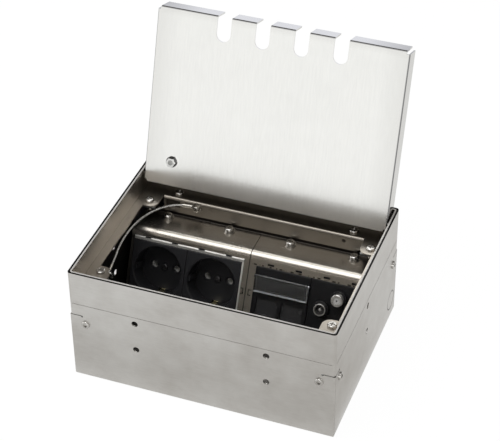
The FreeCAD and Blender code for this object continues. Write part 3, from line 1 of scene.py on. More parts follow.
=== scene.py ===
"""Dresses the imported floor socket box: finishes, stranded rope, light and camera.

Lengths and places are in metres, in the box's own frame: X to the right, Y to the back, Z up.
"""
import logging
import math
from dataclasses import dataclass
from enum import Enum
from functools import cached_property
from typing import Any, Sequence

import bmesh
import bpy
from mathutils import Matrix, Vector


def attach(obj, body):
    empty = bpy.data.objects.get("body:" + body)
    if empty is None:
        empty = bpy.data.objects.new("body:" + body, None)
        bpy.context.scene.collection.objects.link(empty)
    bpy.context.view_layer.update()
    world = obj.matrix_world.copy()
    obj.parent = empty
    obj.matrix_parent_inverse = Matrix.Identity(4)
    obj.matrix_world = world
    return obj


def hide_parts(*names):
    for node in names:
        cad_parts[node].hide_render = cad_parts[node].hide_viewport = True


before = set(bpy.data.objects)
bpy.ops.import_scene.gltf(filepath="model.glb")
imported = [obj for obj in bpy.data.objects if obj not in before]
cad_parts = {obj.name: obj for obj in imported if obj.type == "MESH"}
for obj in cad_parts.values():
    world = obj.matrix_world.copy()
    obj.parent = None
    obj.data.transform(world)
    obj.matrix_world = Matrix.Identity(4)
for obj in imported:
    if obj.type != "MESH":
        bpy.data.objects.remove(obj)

LOG = logging.getLogger("floor_box")
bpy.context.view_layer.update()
Colour = tuple[float, float, float]
Point = tuple[float, float, float]
Pair = tuple[float, float]
Range = tuple[float, float]

# Width over which one tone gives way to the next, and cosine over which a turned normal does.
SOFT_EDGE = 0.0001
SOFT_COSINE = 0.03


class Grain(Enum):
    """Direction in which a sheet was rolled or brushed.

    A value holds the degrees about X that turn the sheet upright, and the axis that then runs with
    the grain.
    """

    ALONG_X = (0.0, 0)
    ALONG_Z = (0.0, 2)
    UP_THE_LID = (18.0, 2)
    UP_THE_FACE = (25.0, 2)


class Signal:
    """An output socket on which shader sums are written as Python expressions."""

    def __init__(self, shader: "Shader", socket: bpy.types.NodeSocket) -> None:
        """Wrap a socket.

        Args:
            shader: The shader that owns the socket's node.
            socket: The output socket.
        """
        self.shader = shader
        self.socket = socket

    def _math(self, operation: str, *values: "Signal | float") -> "Signal":
        """Add a Math node on plain numbers and signals."""
        node = self.shader.node("ShaderNodeMath", {"operation": operation}, dict(enumerate(values)))
        return self.shader.out(node, 0)

    def __add__(self, other: "Signal | float") -> "Signal":
        """Sum."""
        return self._math("ADD", self, other)

    __radd__ = __add__

    def __mul__(self, other: "Signal | float") -> "Signal":
        """Product."""
        return self._math("MULTIPLY", self, other)

    __rmul__ = __mul__

    def __sub__(self, other: "Signal | float") -> "Signal":
        """Difference."""
        return self._math("SUBTRACT", self, other)

    def __rsub__(self, other: "Signal | float") -> "Signal":
        """Difference from a number."""
        return self._math("SUBTRACT", other, self)

    def __abs__(self) -> "Signal":
        """Size without the sign."""
        return self._math("ABSOLUTE", self)

    def clamp(self, low: float = 0.0, high: float = 1.0) -> "Signal":
        """Limit to a range."""
        return self._math("MINIMUM", self._math("MAXIMUM", self, low), high)


class Shader:
    """Node tree of one material or world, with one method that makes any node."""

    def __init__(self, name: str, world: bool = False) -> None:
        """Start an empty tree.

        Args:
            name: Name of the material or world.
            world: Whether the tree is a world's.
        """
        self.owner = (bpy.data.worlds if world else bpy.data.materials).new(name)
        self.owner.use_nodes = True
        self.tree = self.owner.node_tree
        self.tree.nodes.clear()

    def node(self, kind: str, settings: dict[str, Any] | None = None,
             inputs: dict[int | str, Any] | None = None) -> bpy.types.Node:
        """Make a node.

        Args:
            kind: Blender's type of the node.
            settings: Properties of the node; "stops" sets a ramp's stops.
            inputs: Values or signals, by the socket's name or index.

        Returns:
            The new node.
        """
        node = self.tree.nodes.new(kind)
        for key, value in (settings or {}).items():
            if key == "stops":
                self._set_stops(node, value)
            else:
                setattr(node, key, value)
        for key, value in (inputs or {}).items():
            if isinstance(value, Signal):
                self.tree.links.new(value.socket, node.inputs[key])
            else:
                node.inputs[key].default_value = value
        return node

    @staticmethod
    def _set_stops(node: bpy.types.Node, stops: Sequence[tuple[float, Colour]]) -> None:
        """Place a ramp's stops.

        Args:
            node: The colour ramp.
            stops: Place and colour of each stop.
        """
        ramp = node.color_ramp
        while len(ramp.elements) < len(stops):
            ramp.elements.new(1.0)
        for element, (place, colour) in zip(ramp.elements, stops):
            element.position = place
            element.color = (*colour, 1.0)

    def out(self, node: bpy.types.Node, key: int | str) -> Signal:
        """Wrap a node's output."""
        return Signal(self, node.outputs[key])

    @cached_property
    def place(self) -> Signal:
        """Position in the box's own frame."""
        return self.out(self.node("ShaderNodeTexCoord"), "Object")

    def mapped(self, scale: Point, turn_x: float = 0.0) -> Signal:
        """Turn the position about X and then scale it along its axes.

        Args:
            scale: Factor along each axis.
            turn_x: Turn in degrees.

        Returns:
            The new position.
        """
        turned = self.node("ShaderNodeMapping", {"vector_type": "POINT"},
                           {"Vector": self.place, "Rotation": (math.radians(turn_x), 0.0, 0.0)})
        node = self.node("ShaderNodeVectorMath", {"operation": "MULTIPLY"},
                         {0: self.out(turned, 0), 1: scale})
        return self.out(node, 0)

    def turned(self, grain: Grain) -> Signal:
        """Position turned about X so that a sloping sheet stands upright."""
        return self.mapped((1.0, 1.0, 1.0), grain.value[0])

    def component(self, place: Signal, axis: str) -> Signal:
        """One coordinate of a position."""
        return self.out(self.node("ShaderNodeSeparateXYZ", {}, {0: place}), axis)

    def noise(self, place: Signal, scale: float, detail: float = 2.0, rough: float = 0.5) -> Signal:
        """Fractal noise around 0.5."""
        node = self.node("ShaderNodeTexNoise", {"noise_dimensions": "3D"},
                         {"Vector": place, "Scale": scale, "Detail": detail, "Roughness": rough})
        return self.out(node, 0)

    def blend(self, factor: Signal | float, first: Any, second: Any) -> Signal:
        """Mix two colours."""
        node = self.node("ShaderNodeMix", {"data_type": "RGBA"},
                         {0: factor, 6: self._rgba(first), 7: self._rgba(second)})
        return self.out(node, 2)

    @staticmethod
    def _rgba(value: Any) -> Any:
        """Complete a plain colour with its alpha."""
        return value if isinstance(value, Signal) else (*value, 1.0)

    def ramp(self, factor: Signal, low: float, high: float) -> Signal:
        """Stretch a signal so that low becomes 0 and high becomes 1, whichever is larger."""
        node = self.node("ShaderNodeMapRange", {"clamp": True},
                         {"Value": factor, "From Min": low, "From Max": high})
        return self.out(node, 0)

    def above(self, value: Signal, level: float, soft: float = SOFT_EDGE) -> Signal:
        """Share that is 0 at a level and 1 a little above it."""
        return self.ramp(value, level, level + soft)

    def below(self, value: Signal, level: float, soft: float = SOFT_EDGE) -> Signal:
        """Share that is 0 at a level and 1 a little below it."""
        return self.ramp(value, level, level - soft)

    def between(self, value: Signal, span: Range, soft: float = SOFT_EDGE) -> Signal:
        """Share that is 1 inside a range, apart from its soft borders, and 0 outside it."""
        return self.above(value, span[0], soft) * self.below(value, span[1], soft)

    def bump(self, height: Signal, strength: float, distance: float, base: Signal | None = None) -> Signal:
        """Turn a height into a normal.

        Args:
            height: The height.
            strength: Share of the bump.
            distance: Height that a value of 1 stands for.
            base: Normal that the bump lies on, if not the surface's own.

        Returns:
            The normal.
        """
        inputs = {"Height": height, "Strength": strength, "Distance": distance}
        if base is not None:
            inputs["Normal"] = base
        return self.out(self.node("ShaderNodeBump", {}, inputs), 0)

    def aimed(self, facing: Point) -> tuple[Signal, Signal, Signal]:
        """Compare the surface's normal with one direction of the box's frame.

        Args:
            facing: The direction, in the box's frame.

        Returns:
            The surface's own normal, the direction in the world, and the cosine between them.
        """
        own = self.out(self.node("ShaderNodeNewGeometry"), "Normal")
        turned = self.node("ShaderNodeVectorTransform", {
            "vector_type": "NORMAL", "convert_from": "OBJECT", "convert_to": "WORLD"}, {0: facing})
        aim = self.out(turned, 0)
        likeness = self.node("ShaderNodeVectorMath", {"operation": "DOT_PRODUCT"}, {0: own, 1: aim})
        return own, aim, self.out(likeness, "Value")

    def flattened(self, facing: Point, reach: float) -> Signal:
        """Shading normal with every normal close to one direction turned into that direction.

        Args:
            facing: The direction, in the box's frame.
            reach: Cosine of the angle within which normals are turned.

        Returns:
            The normal.
        """
        own, aim, likeness = self.aimed(facing)
        mixed = self.node("ShaderNodeMix", {"data_type": "VECTOR"}, {
            0: self.above(likeness, reach, SOFT_COSINE), 4: own, 5: aim})
        return self.out(mixed, 1)

    def finish(self, inputs: dict[str, Any]) -> bpy.types.Material:
        """Close the tree with a Principled shader.

        Args:
            inputs: Values or signals of the Principled shader's sockets.

        Returns:
            The material.
        """
        surface = self.node("ShaderNodeBsdfPrincipled", {}, inputs)
        self.node("ShaderNodeOutputMaterial", {}, {"Surface": self.out(surface, 0)})
        return self.owner


@dataclass(frozen=True)
class SheetSteel:
    """Rolled or brushed stainless sheet with a directional grain and soft handling marks."""

    name: str
    tint: Colour = (0.62, 0.61, 0.59)
    shade: Colour = (0.50, 0.48, 0.45)
    roughness: float = 0.33
    spread: float = 0.10
    rough_limits: Range = (0.05, 0.9)
    grain: Grain = Grain.ALONG_X
    grain_depth: float = 0.25
    grain_height: float = 0.00008
    lines_per_metre: float = 900.0
    lines_in_band: float = 10.0
    stretch: float = 0.12
    streak: float = 0.12
    patch_scale: float = 22.0
    patch_share: float = 0.65
    smear_scale: float = 2.7
    smear_shape: Point = (1.0, 1.0, 1.3)
    tone_reach: Range = (0.34, 0.66)
    fleck_reach: Range = (0.3, 0.7)
    fleck_share: float = 0.18
    fleck_gain: float = 1.2

    def edges(self, shader: Shader, colour: Signal) -> Signal:
        """Colour the sheet's edges; a plain sheet leaves them as they are.

        Args:
            shader: The material's shader.
            colour: Colour of the sheet so far.

        Returns:
            The colour with its edges.
        """
        return colour

    def relief(self, shader: Shader) -> Signal | None:
        """Normal of pressed or turned edges; a plain sheet has none."""
        return None

    def wear(self, shader: Shader, rough: Signal) -> Signal:
        """Roughness with its edges; a plain sheet leaves it as it is."""
        return rough

    def build(self) -> bpy.types.Material:
        """Make the material.

        Returns:
            The material, with grain, patches and fine scratches.
        """
        shader = Shader(self.name)
        turn, axis = self.grain.value
        along = [1.0, 1.0, 1.0]
        along[axis] = self.stretch
        grain_place = shader.mapped(tuple(along), turn)
        grain = shader.noise(grain_place, self.lines_per_metre, detail=3.0, rough=0.6)
        broad = shader.noise(grain_place, self.lines_per_metre / self.lines_in_band)
        patches = shader.noise(shader.place, self.patch_scale, detail=4.0, rough=0.62)
        smear = shader.noise(shader.mapped(self.smear_shape), self.patch_scale * self.smear_scale,
                             detail=3.0, rough=0.55)
        cloud = patches * self.patch_share + smear * (1.0 - self.patch_share)
        tone = shader.ramp(cloud * (1.0 - self.streak) + broad * self.streak, *self.tone_reach)
        colour = shader.blend(tone, self.shade, self.tint)
        fleck = shader.ramp(grain, *self.fleck_reach) * self.fleck_share
        colour = shader.blend(fleck, colour, tuple(min(1.0, c * self.fleck_gain) for c in self.tint))
        half_spread = self.spread * 0.5
        rough = (self.roughness - half_spread) + patches * self.spread + grain * half_spread
        return shader.finish({
            "Base Color": self.edges(shader, colour),
            "Metallic": 1.0,
            "Roughness": self.wear(shader, rough).clamp(*self.rough_limits),
            "Normal": shader.bump(grain + broad * self.streak, self.grain_depth, self.grain_height,
                                  self.relief(shader)),
        })


@dataclass(frozen=True)
class RimSheet(SheetSteel):
    """Sheet of the walls, with painted shade on its inner faces, a painted tone on its cut upper edge, and
    punched rings.
    """

    rim_level: float = 0.09866
    rim_soft: float = 0.00004
    # The cut upper edge's tone is painted shade on the walls and a painted highlight on the liner.
    painted_rim_tone: Colour = (0.02, 0.02, 0.02)
    rim_roughness: float = 0.45
    # Painted shade darkens the back and the ledge.
    back: Range = (0.046, 0.056)
    back_painted_shade: Colour = (0.25, 0.23, 0.20)
    back_share: float = 0.0
    ledge: Range = (0.0797, 0.0803)
    ledge_share: float = 0.55
    # Painted shade darkens the inner faces of the walls.
    inside_half: Pair = (0.0, 0.0)
    inside_painted_shade: Colour = (0.10, 0.095, 0.09)
    front_skin: Range = (-0.0760, -0.0755)
    ring_centre: Pair = (0.0, 0.0)
    ring_radius: Range = (0.0, 0.0)
    ring_soft: float = 0.01
    ring_share: float = 0.7

    def rim(self, shader: Shader) -> Signal:
        """Share of the rim: 1 on the cut edge, 0 below it."""
        height = shader.component(shader.place, "Z")
        return shader.above(height, self.rim_level - self.rim_soft, self.rim_soft)

    def edges(self, shader: Shader, colour: Signal) -> Signal:
        """Paint the cut upper edge's tone, and paint shade on the back, the ledge and the inner faces.

        Args:
            shader: The material's shader.
            colour: Colour of the sheet so far.

        Returns:
            The colour with its edges.
        """
        # Painted shade on the back and on the ledge.
        if self.back_share:
            back = shader.ramp(shader.component(shader.place, "Y"), *self.back)
            colour = shader.blend(back * self.back_share, colour, self.back_painted_shade)
            ledge = shader.between(shader.component(shader.place, "Z"), self.ledge)
            colour = shader.blend(ledge * (1.0 - back) * self.ledge_share, colour, self.back_painted_shade)
        # Painted shade on the inner faces.
        if self.inside_half[0]:
            along, across = (shader.below(abs(shader.component(shader.place, axis)), half)
                             for axis, half in zip("XY", self.inside_half))
            behind = shader.ramp(shader.component(shader.place, "Y"), *self.front_skin)
            colour = shader.blend(along * across * behind, colour, self.inside_painted_shade)
        # The punched ring takes the same dark tone as the walls' painted rim.
        if self.ring_radius[1]:
            colour = shader.blend(self.ring(shader), colour, self.painted_rim_tone)
        # Painted tone on the cut upper edge: shade on the walls, a highlight on the liner.
        return shader.blend(self.rim(shader), colour, self.painted_rim_tone)

    def ring(self, shader: Shader) -> Signal:
        """Share of the knockout's punched ring in the side walls.

        Args:
            shader: The material's shader.

        Returns:
            The share, 0 outside the ring.
        """
        across = shader.component(shader.place, "Y") - self.ring_centre[0]
        up = shader.component(shader.place, "Z") - self.ring_centre[1]
        apart = across * across + up * up
        low, high = (radius * radius for radius in self.ring_radius)
        rise = shader.ramp(apart, low * (1.0 - self.ring_soft), low)
        fall = shader.ramp(apart, high * (1.0 + self.ring_soft), high)
        return rise * fall * self.ring_share

    def wear(self, shader: Shader, rough: Signal) -> Signal:
        """Roughen the cut upper edge."""
        rim = self.rim(shader)
        return rough * (1.0 - rim) + rim * self.rim_roughness


@dataclass(frozen=True)
class LidSheet(SheetSteel):
    """Lid sheet: crisp bends, with painted shade towards its borders, on its flange and in its folds."""

    half_width: float = 0.09905
    top: float = 0.2447
    # Painted shade towards the lid's sides and top.
    border: float = 0.020
    top_border: float = 0.006
    border_share: float = 0.5
    border_painted_shade: Colour = (0.63, 0.625, 0.61)
    facing: Point = (0.0, -0.951, 0.309)
    upward: Point = (0.0, 0.309, 0.951)
    crisp: float = 0.57
    # Painted shade in the folds.
    fold: Range = (0.10, 0.86)
    fold_soft: float = 0.16
    fold_share: float = 0.9
    fold_painted_shade: Colour = (0.17, 0.17, 0.175)
    # Painted bluish shade on the flange, darker towards its ends.
    flange: Range = (0.90, 0.96)
    flange_painted_shade: Colour = (0.74, 0.75, 0.78)
    end_width: float = 0.035
    end_painted_shade: Colour = (0.40, 0.405, 0.42)
    foot: Range = (0.120, 0.100)
    foot_roughness: float = 0.08

    def edges(self, shader: Shader, colour: Signal) -> Signal:
        """Paint shade on the borders of the lid, bluish shade on its flange and dark shade in its folds.

        Args:
            shader: The material's shader.
            colour: Colour of the sheet so far.

        Returns:
            The colour with its edges.
        """
        turned = shader.turned(Grain.UP_THE_LID)
        across = abs(shader.component(turned, "X"))
        # Painted shade towards the sides and the top.
        side = shader.ramp(across, self.half_width - self.border, self.half_width)
        high = shader.ramp(shader.component(turned, "Z"), self.top - self.top_border, self.top)
        colour = shader.blend((side + high).clamp() * self.border_share, colour, self.border_painted_shade)
        # Painted bluish shade on the flange, darker at its ends.
        ends = shader.ramp(across, self.half_width - self.end_width, self.half_width)
        flange_colour = shader.blend(ends, self.flange_painted_shade, self.end_painted_shade)
        flange = shader.ramp(shader.aimed(self.upward)[2], *self.flange)
        colour = shader.blend(flange, colour, flange_colour)
        # Painted shade in the folds.
        fold = shader.between(shader.aimed(self.facing)[2], self.fold, self.fold_soft)
        return shader.blend(fold * self.fold_share, colour, self.fold_painted_shade)

    def wear(self, shader: Shader, rough: Signal) -> Signal:
        """Roughen the foot of the lid, which is handled most."""
        up = shader.component(shader.turned(Grain.UP_THE_LID), "Z")
        return rough + shader.ramp(up, *self.foot) * self.foot_roughness

    def relief(self, shader: Shader) -> Signal | None:
        """Narrow the bends to crisp folds."""
        return shader.flattened(self.facing, self.crisp)


@dataclass(frozen=True)
class CarrierSheet(SheetSteel):
    """Carrier sheet whose opening has a slightly turned-out edge along its top and its inner side."""

    edge_top: float = 0.0646
    edge_ridge: float = 0.0633
    edge_low: float = 0.0617
    edge_soft: float = 0.0004
    side_inner: float = -0.00585
    side_outer: float = -0.0044
    side_soft: float = 0.0003
    height: float = 0.00045
    # Painted highlight on the inner side of the opening.
    side_painted_highlight: Colour = (0.95, 0.94, 0.90)
    # Painted shade on the outer side of the opening.
    outer_side: float = -0.0955
    outer_share: float = 0.9
    outer_painted_shade: Colour = (0.04, 0.038, 0.035)
    matt_side: Range = (0.0585, 0.0575)
    matt_roughness: float = 0.35

    def edges(self, shader: Shader, colour: Signal) -> Signal:
        """Paint a highlight on the inner side of the opening and shade on its outer side.

        Args:
            shader: The material's shader.
            colour: Colour of the sheet so far.

        Returns:
            The colour with its edges.
        """
        turned = shader.turned(Grain.UP_THE_FACE)
        across, up = shader.component(turned, "X"), shader.component(turned, "Z")
        beside = shader.below(across, self.side_outer, self.side_soft)
        lower = shader.below(up, self.edge_top, self.edge_soft)
        outer = shader.below(across, self.outer_side, self.side_soft)
        # Painted shade on the outer side, then a painted highlight on the inner side.
        colour = shader.blend(outer * lower * self.outer_share, colour, self.outer_painted_shade)
        return shader.blend(beside * lower * (1.0 - outer), colour, self.side_painted_highlight)

    def wear(self, shader: Shader, rough: Signal) -> Signal:
        """Roughen the inner side of the opening.

        Args:
            shader: The material's shader.
            rough: Roughness of the sheet so far.

        Returns:
            The roughness with its edges.
        """
        beside = shader.below(shader.component(shader.place, "X"), self.side_outer, self.side_soft)
        low = shader.ramp(shader.component(shader.place, "Z"), *self.matt_side)
        return rough + beside * low * self.matt_roughness

    def relief(self, shader: Shader) -> Signal | None:
        """Turned-out edge along the top and the inner side of the opening.

        Args:
            shader: The material's shader.

        Returns:
            The normal.
        """
        turned = shader.turned(Grain.UP_THE_FACE)
        across, up = shader.component(turned, "X"), shader.component(turned, "Z")
        rise = shader.ramp(up, self.edge_top, self.edge_ridge)
        fall = shader.ramp(up, self.edge_low, self.edge_ridge)
        beside = shader.ramp(across, self.side_outer, self.side_inner)
        within = shader.below(across, self.side_outer)
        lower = shader.below(up, self.edge_top, self.edge_soft)
        return shader.bump(rise * fall * within + beside * lower, 1.0, self.height)


@dataclass(frozen=True)
class NotchedSheet(SheetSteel):
    """Carrier sheet with a row of small dark notches along the top of its opening."""

    strip: Range = (0.0617, 0.0629)
    notches_per_metre: float = 330.0
    notch_reach: Range = (0.50, 0.54)
    notch_share: float = 0.9
    notch_tone: Colour = (0.05, 0.045, 0.04)

    def edges(self, shader: Shader, colour: Signal) -> Signal:
        """Darken the notches.

        Args:
            shader: The material's shader.
            colour: Colour of the sheet so far.

        Returns:
            The colour with its notches.
        """
        up = shader.component(shader.turned(Grain.UP_THE_FACE), "Z")
        row = shader.between(up, self.strip)
        along = shader.noise(shader.mapped((1.0, 0.0, 0.0)), self.notches_per_metre, detail=1.0)
        notch = shader.ramp(along, *self.notch_reach)
        return shader.blend(row * notch * self.notch_share, colour, self.notch_tone)


@dataclass(frozen=True)
class Plating:
    """Bright plated or turned small metal with faint tarnish and fine marks."""

    name: str
    tint: Colour = (0.70, 0.70, 0.69)
    tarnish: Colour = (0.42, 0.40, 0.37)
    tarnish_scale: float = 260.0
    tarnish_reach: Range = (0.42, 0.72)
    tarnish_share: float = 0.35
    tarnish_roughness: float = 0.2
    roughness: float = 0.22
    rough_limits: Range = (0.04, 0.8)
    mark_scale: float = 900.0
    mark_roughness: float = 0.16
    mark_depth: float = 0.12
    mark_height: float = 0.00005
    metallic: float = 1.0

    def build(self) -> bpy.types.Material:
        """Make the material.

        Returns:
            The material, bright with uneven tarnish.
        """
        shader = Shader(self.name)
        cloud = shader.noise(shader.place, self.tarnish_scale, detail=3.0, rough=0.6)
        marks = shader.noise(shader.place, self.mark_scale, detail=4.0, rough=0.7)
        dull = shader.ramp(cloud, *self.tarnish_reach) * self.tarnish_share
        rough = self.roughness + (marks - 0.5) * self.mark_roughness + dull * self.tarnish_roughness
        return shader.finish({
            "Base Color": shader.blend(dull, self.tint, self.tarnish),
            "Metallic": self.metallic,
            "Roughness": rough.clamp(*self.rough_limits),
            "Normal": shader.bump(marks, self.mark_depth, self.mark_height),
        })


@dataclass(frozen=True)
class Moulding:
    """Injection-moulded plastic with a fine spark-eroded texture and slight wear."""

    name: str
    tint: Colour = (0.012, 0.012, 0.013)
    worn: Colour = (0.03, 0.03, 0.032)
    roughness: float = 0.38
    rough_limits: Range = (0.05, 0.95)
    gloss: float = 0.5
    texture_scale: float = 5200.0
    texture_depth: float = 0.18
    texture_height: float = 0.00003
    texture_roughness: float = 0.08
    dust_scale: float = 120.0
    dust_reach: Range = (0.52, 0.8)
    dust_share: float = 0.35
    dust_roughness: float = 0.18

    def tinge(self, shader: Shader, colour: Signal) -> Signal:
        """Colour of the pieces that differ; a plain moulding leaves it as it is."""
        return colour

    def build(self) -> bpy.types.Material:
        """Make the material.

        Returns:
            The material, with moulded texture and faint dust.
        """
        shader = Shader(self.name)
        skin = shader.noise(shader.place, self.texture_scale, rough=0.6)
        cloud = shader.noise(shader.place, self.dust_scale, detail=5.0, rough=0.68)
        dust = shader.ramp(cloud, *self.dust_reach)
        colour = shader.blend(dust * self.dust_share, self.tint, self.worn)
        rough = self.roughness + dust * self.dust_roughness + (skin - 0.5) * self.texture_roughness
        return shader.finish({
            "Base Color": self.tinge(shader, colour),
            "Roughness": rough.clamp(*self.rough_limits),
            "Specular IOR Level": self.gloss,
            "Normal": shader.bump(skin, self.texture_depth, self.texture_height),
        })


@dataclass(frozen=True)
class InsulatorMoulding(Moulding):
    """Insulators in one material: dark ones, and a pale one at the side of the module."""

    pale: Colour = (0.58, 0.57, 0.55)
    pale_from: float = 0.068
    pale_soft: float = 0.0005

    def tinge(self, shader: Shader, colour: Signal) -> Signal:
        """Make the insulator at the side pale."""
        at_side = shader.above(shader.component(shader.place, "X"), self.pale_from, self.pale_soft)
        return shader.blend(at_side, colour, self.pale)


@dataclass(frozen=True)
class ClearMoulding:
    """Clear polycarbonate with faint ripples, hairlines and a painted highlight on its lower and right
    borders.
    """

    name: str
    tint: Colour = (0.92, 0.94, 0.96)
    roughness: float = 0.04
    rough_limits: Range = (0.02, 0.4)
    ior: float = 1.5
    ripple_shape: Point = (1.0, 3.0, 3.0)
    ripple_scale: float = 130.0
    ripple_depth: float = 0.25
    ripple_height: float = 0.0004
    hairline_shape: Point = (1.0, 14.0, 14.0)
    hairline_scale: float = 420.0
    hairline_reach: Range = (0.62, 0.8)
    hairline_roughness: float = 0.1
    # The lower and right borders are made partly metallic as a painted highlight.
    low_edge: float = 0.0421
    right_edge: float = 0.0497
    edge: float = 0.0004
    edge_highlight_metallic: float = 0.5
    edge_roughness: float = 0.3

    def border(self, shader: Shader) -> Signal:
        """Share of the lower and the right border, which carry the painted highlight.

        Args:
            shader: The material's shader.

        Returns:
            The share, 1 at the very edges.
        """
        turned = shader.turned(Grain.UP_THE_FACE)
        low = shader.below(shader.component(turned, "Z"), self.low_edge + self.edge, self.edge)
        right = shader.above(shader.component(turned, "X"), self.right_edge - self.edge, self.edge)
        return (low + right).clamp()

    def build(self) -> bpy.types.Material:
        """Make the material.

        Returns:
            The clear material.
        """
        shader = Shader(self.name)
        ripple = shader.noise(shader.mapped(self.ripple_shape), self.ripple_scale)
        lines = shader.noise(shader.mapped(self.hairline_shape), self.hairline_scale, rough=0.7)
        hairline = shader.ramp(lines, *self.hairline_reach) * self.hairline_roughness
        border = self.border(shader)
        rough = self.roughness + hairline + border * self.edge_roughness
        return shader.finish({
            "Base Color": (*self.tint, 1.0),
            "Metallic": border * self.edge_highlight_metallic,
            "Roughness": rough.clamp(*self.rough_limits),
            "Transmission Weight": 1.0,
            "IOR": self.ior,
            "Normal": shader.bump(ripple, self.ripple_depth, self.ripple_height),
        })


@dataclass(frozen=True)
class Card:
    """Printed card strip, left blank."""

    name: str
    tint: Colour = (0.018, 0.018, 0.019)
    fibre: Colour = (0.034, 0.034, 0.036)
    fibre_shape: Point = (1.0, 2.5, 2.5)
    fibre_scale: float = 2600.0
    fibre_reach: Range = (0.35, 0.75)
    fibre_depth: float = 0.2
    fibre_height: float = 0.00004
    roughness: float = 0.75
    fibre_roughness: float = 0.15

    def build(self) -> bpy.types.Material:
        """Make the material.

        Returns:
            The matt card material.
        """
        shader = Shader(self.name)
        fibre = shader.noise(shader.mapped(self.fibre_shape), self.fibre_scale, detail=4.0, rough=0.7)
        return shader.finish({
            "Base Color": shader.blend(shader.ramp(fibre, *self.fibre_reach), self.tint, self.fibre),
            "Roughness": (self.roughness + fibre * self.fibre_roughness).clamp(),
            "Normal": shader.bump(fibre, self.fibre_depth, self.fibre_height),
        })


def dress(material: bpy.types.Material, *nodes: str) -> None:
    """Give CAD nodes a material in place of their plain one.

    Args:
        material: The finish.
        nodes: Names of the CAD nodes.
    """
    for name in nodes:
        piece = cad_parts[name]
        if not piece.data.materials:
            piece.data.materials.append(material)
        for slot in piece.material_slots:
            slot.material = material
        LOG.info("dressed %s with %s", name, material.name)


@dataclass
class Enclosure:
    """Outer box, rim liner, rail and brackets, with their screws."""

    # The walls carry painted shade on their cut upper edge and inner faces.
    wall: SheetSteel = RimSheet("mill_sheet_walls", tint=(0.67, 0.663, 0.643), shade=(0.54, 0.525, 0.50),
                                roughness=0.34, spread=0.16, patch_scale=24.0, streak=0.06,
                                inside_half=(0.1022, 0.0767), ring_centre=(0.0650, 0.0175),
                                ring_radius=(0.0077, 0.0083))
    # The liner carries a painted highlight on its cut upper edge and painted shade on its back and ledge.
    liner: SheetSteel = RimSheet("mill_sheet_liner", tint=(0.70, 0.65, 0.585), shade=(0.60, 0.555, 0.495),
                                 roughness=0.31, patch_scale=26.0, grain_depth=0.1,
                                 painted_rim_tone=(0.80, 0.79, 0.77), rim_roughness=0.62, back_share=0.9)
    # The rail's near-black tint is painted shade behind the lip.
    rail: SheetSteel = SheetSteel("rail_sheet_painted_shade", tint=(0.10, 0.09, 0.08), shade=(0.06, 0.055, 0.05),
                                  roughness=0.36, patch_scale=30.0)
    bracket: SheetSteel = SheetSteel("zinc_sheet_brackets", tint=(0.50, 0.51, 0.52), shade=(0.38, 0.39, 0.40),
                                     roughness=0.36, grain=Grain.ALONG_Z, patch_scale=60.0)
    screw: Plating = Plating("plated_screws", tint=(0.60, 0.59, 0.57), roughness=0.16)

    def build(self) -> None:
        """Dress the enclosure's pieces."""
        dress(self.wall.build(), "outer_housing")
        dress(self.liner.build(), "inner_frame")
        dress(self.rail.build(), "device_rail")
        corners = [f"corner_bracket_{end}_{side}" for end in ("front", "back") for side in ("left", "right")]
        dress(self.bracket.build(), *corners)
        dress(self.screw.build(), "ledge_screws", "rail_screws", "side_screws", "hinge_pins")


# What the sheets of the two carriers have in common.
CARRIER_LOOK: dict[str, Any] = {
    # The tint, darker and browner than the walls', is partly the sheet's own and partly painted shade of the
    # box's inside.
    "tint": (0.54, 0.51, 0.46), "shade": (0.46, 0.43, 0.385), "roughness": 0.25, "spread": 0.06,
    "patch_scale": 34.0, "grain_depth": 0.15}


@dataclass
class DeviceCarriers:
    """The two folded carriers and their screws."""

    left_sheet: SheetSteel = CarrierSheet("brushed_carrier_left", **CARRIER_LOOK)
    right_sheet: SheetSteel = NotchedSheet("brushed_carrier_right", **CARRIER_LOOK)
    screw: Plating = Plating("plated_carrier_screws", tint=(0.52, 0.51, 0.49), roughness=0.12)

    def build(self) -> None:
        """Dress the carriers."""
        dress(self.left_sheet.build(), "carrier_left")
        dress(self.right_sheet.build(), "carrier_right")
        dress(self.screw.build(), "carrier_screws", "carrier_washers")


@dataclass
class MainsSockets:
    """The two earthed sockets."""

    cup: Moulding = Moulding("black_socket_face", tint=(0.024, 0.024, 0.026), worn=(0.034, 0.034, 0.037),
                             roughness=0.30, gloss=0.24)
    base: Moulding = Moulding("black_socket_base", tint=(0.016, 0.016, 0.017), roughness=0.55)
    strap: Plating = Plating("pale_brass_earth", tint=(0.80, 0.75, 0.56), tarnish=(0.50, 0.45, 0.30),
                             roughness=0.40)
    contact: Plating = Plating("bright_contacts", tint=(0.95, 0.94, 0.91), tarnish=(0.75, 0.74, 0.71),
                               roughness=0.55, metallic=0.3)
    dark_screw: Plating = Plating("blackened_screws", tint=(0.13, 0.13, 0.135), tarnish=(0.07, 0.07, 0.07),
                                  roughness=0.35)

    def build(self) -> None:
        """Dress the sockets."""
        dress(self.cup.build(), "socket_cup_1", "socket_cup_2")
        dress(self.base.build(), "socket_base_1", "socket_base_2")
        dress(self.strap.build(), "earth_strap_1", "earth_strap_2")
        dress(self.contact.build(), "pin_contacts", "terminal_screws")
        dress(self.dark_screw.build(), "socket_screws")


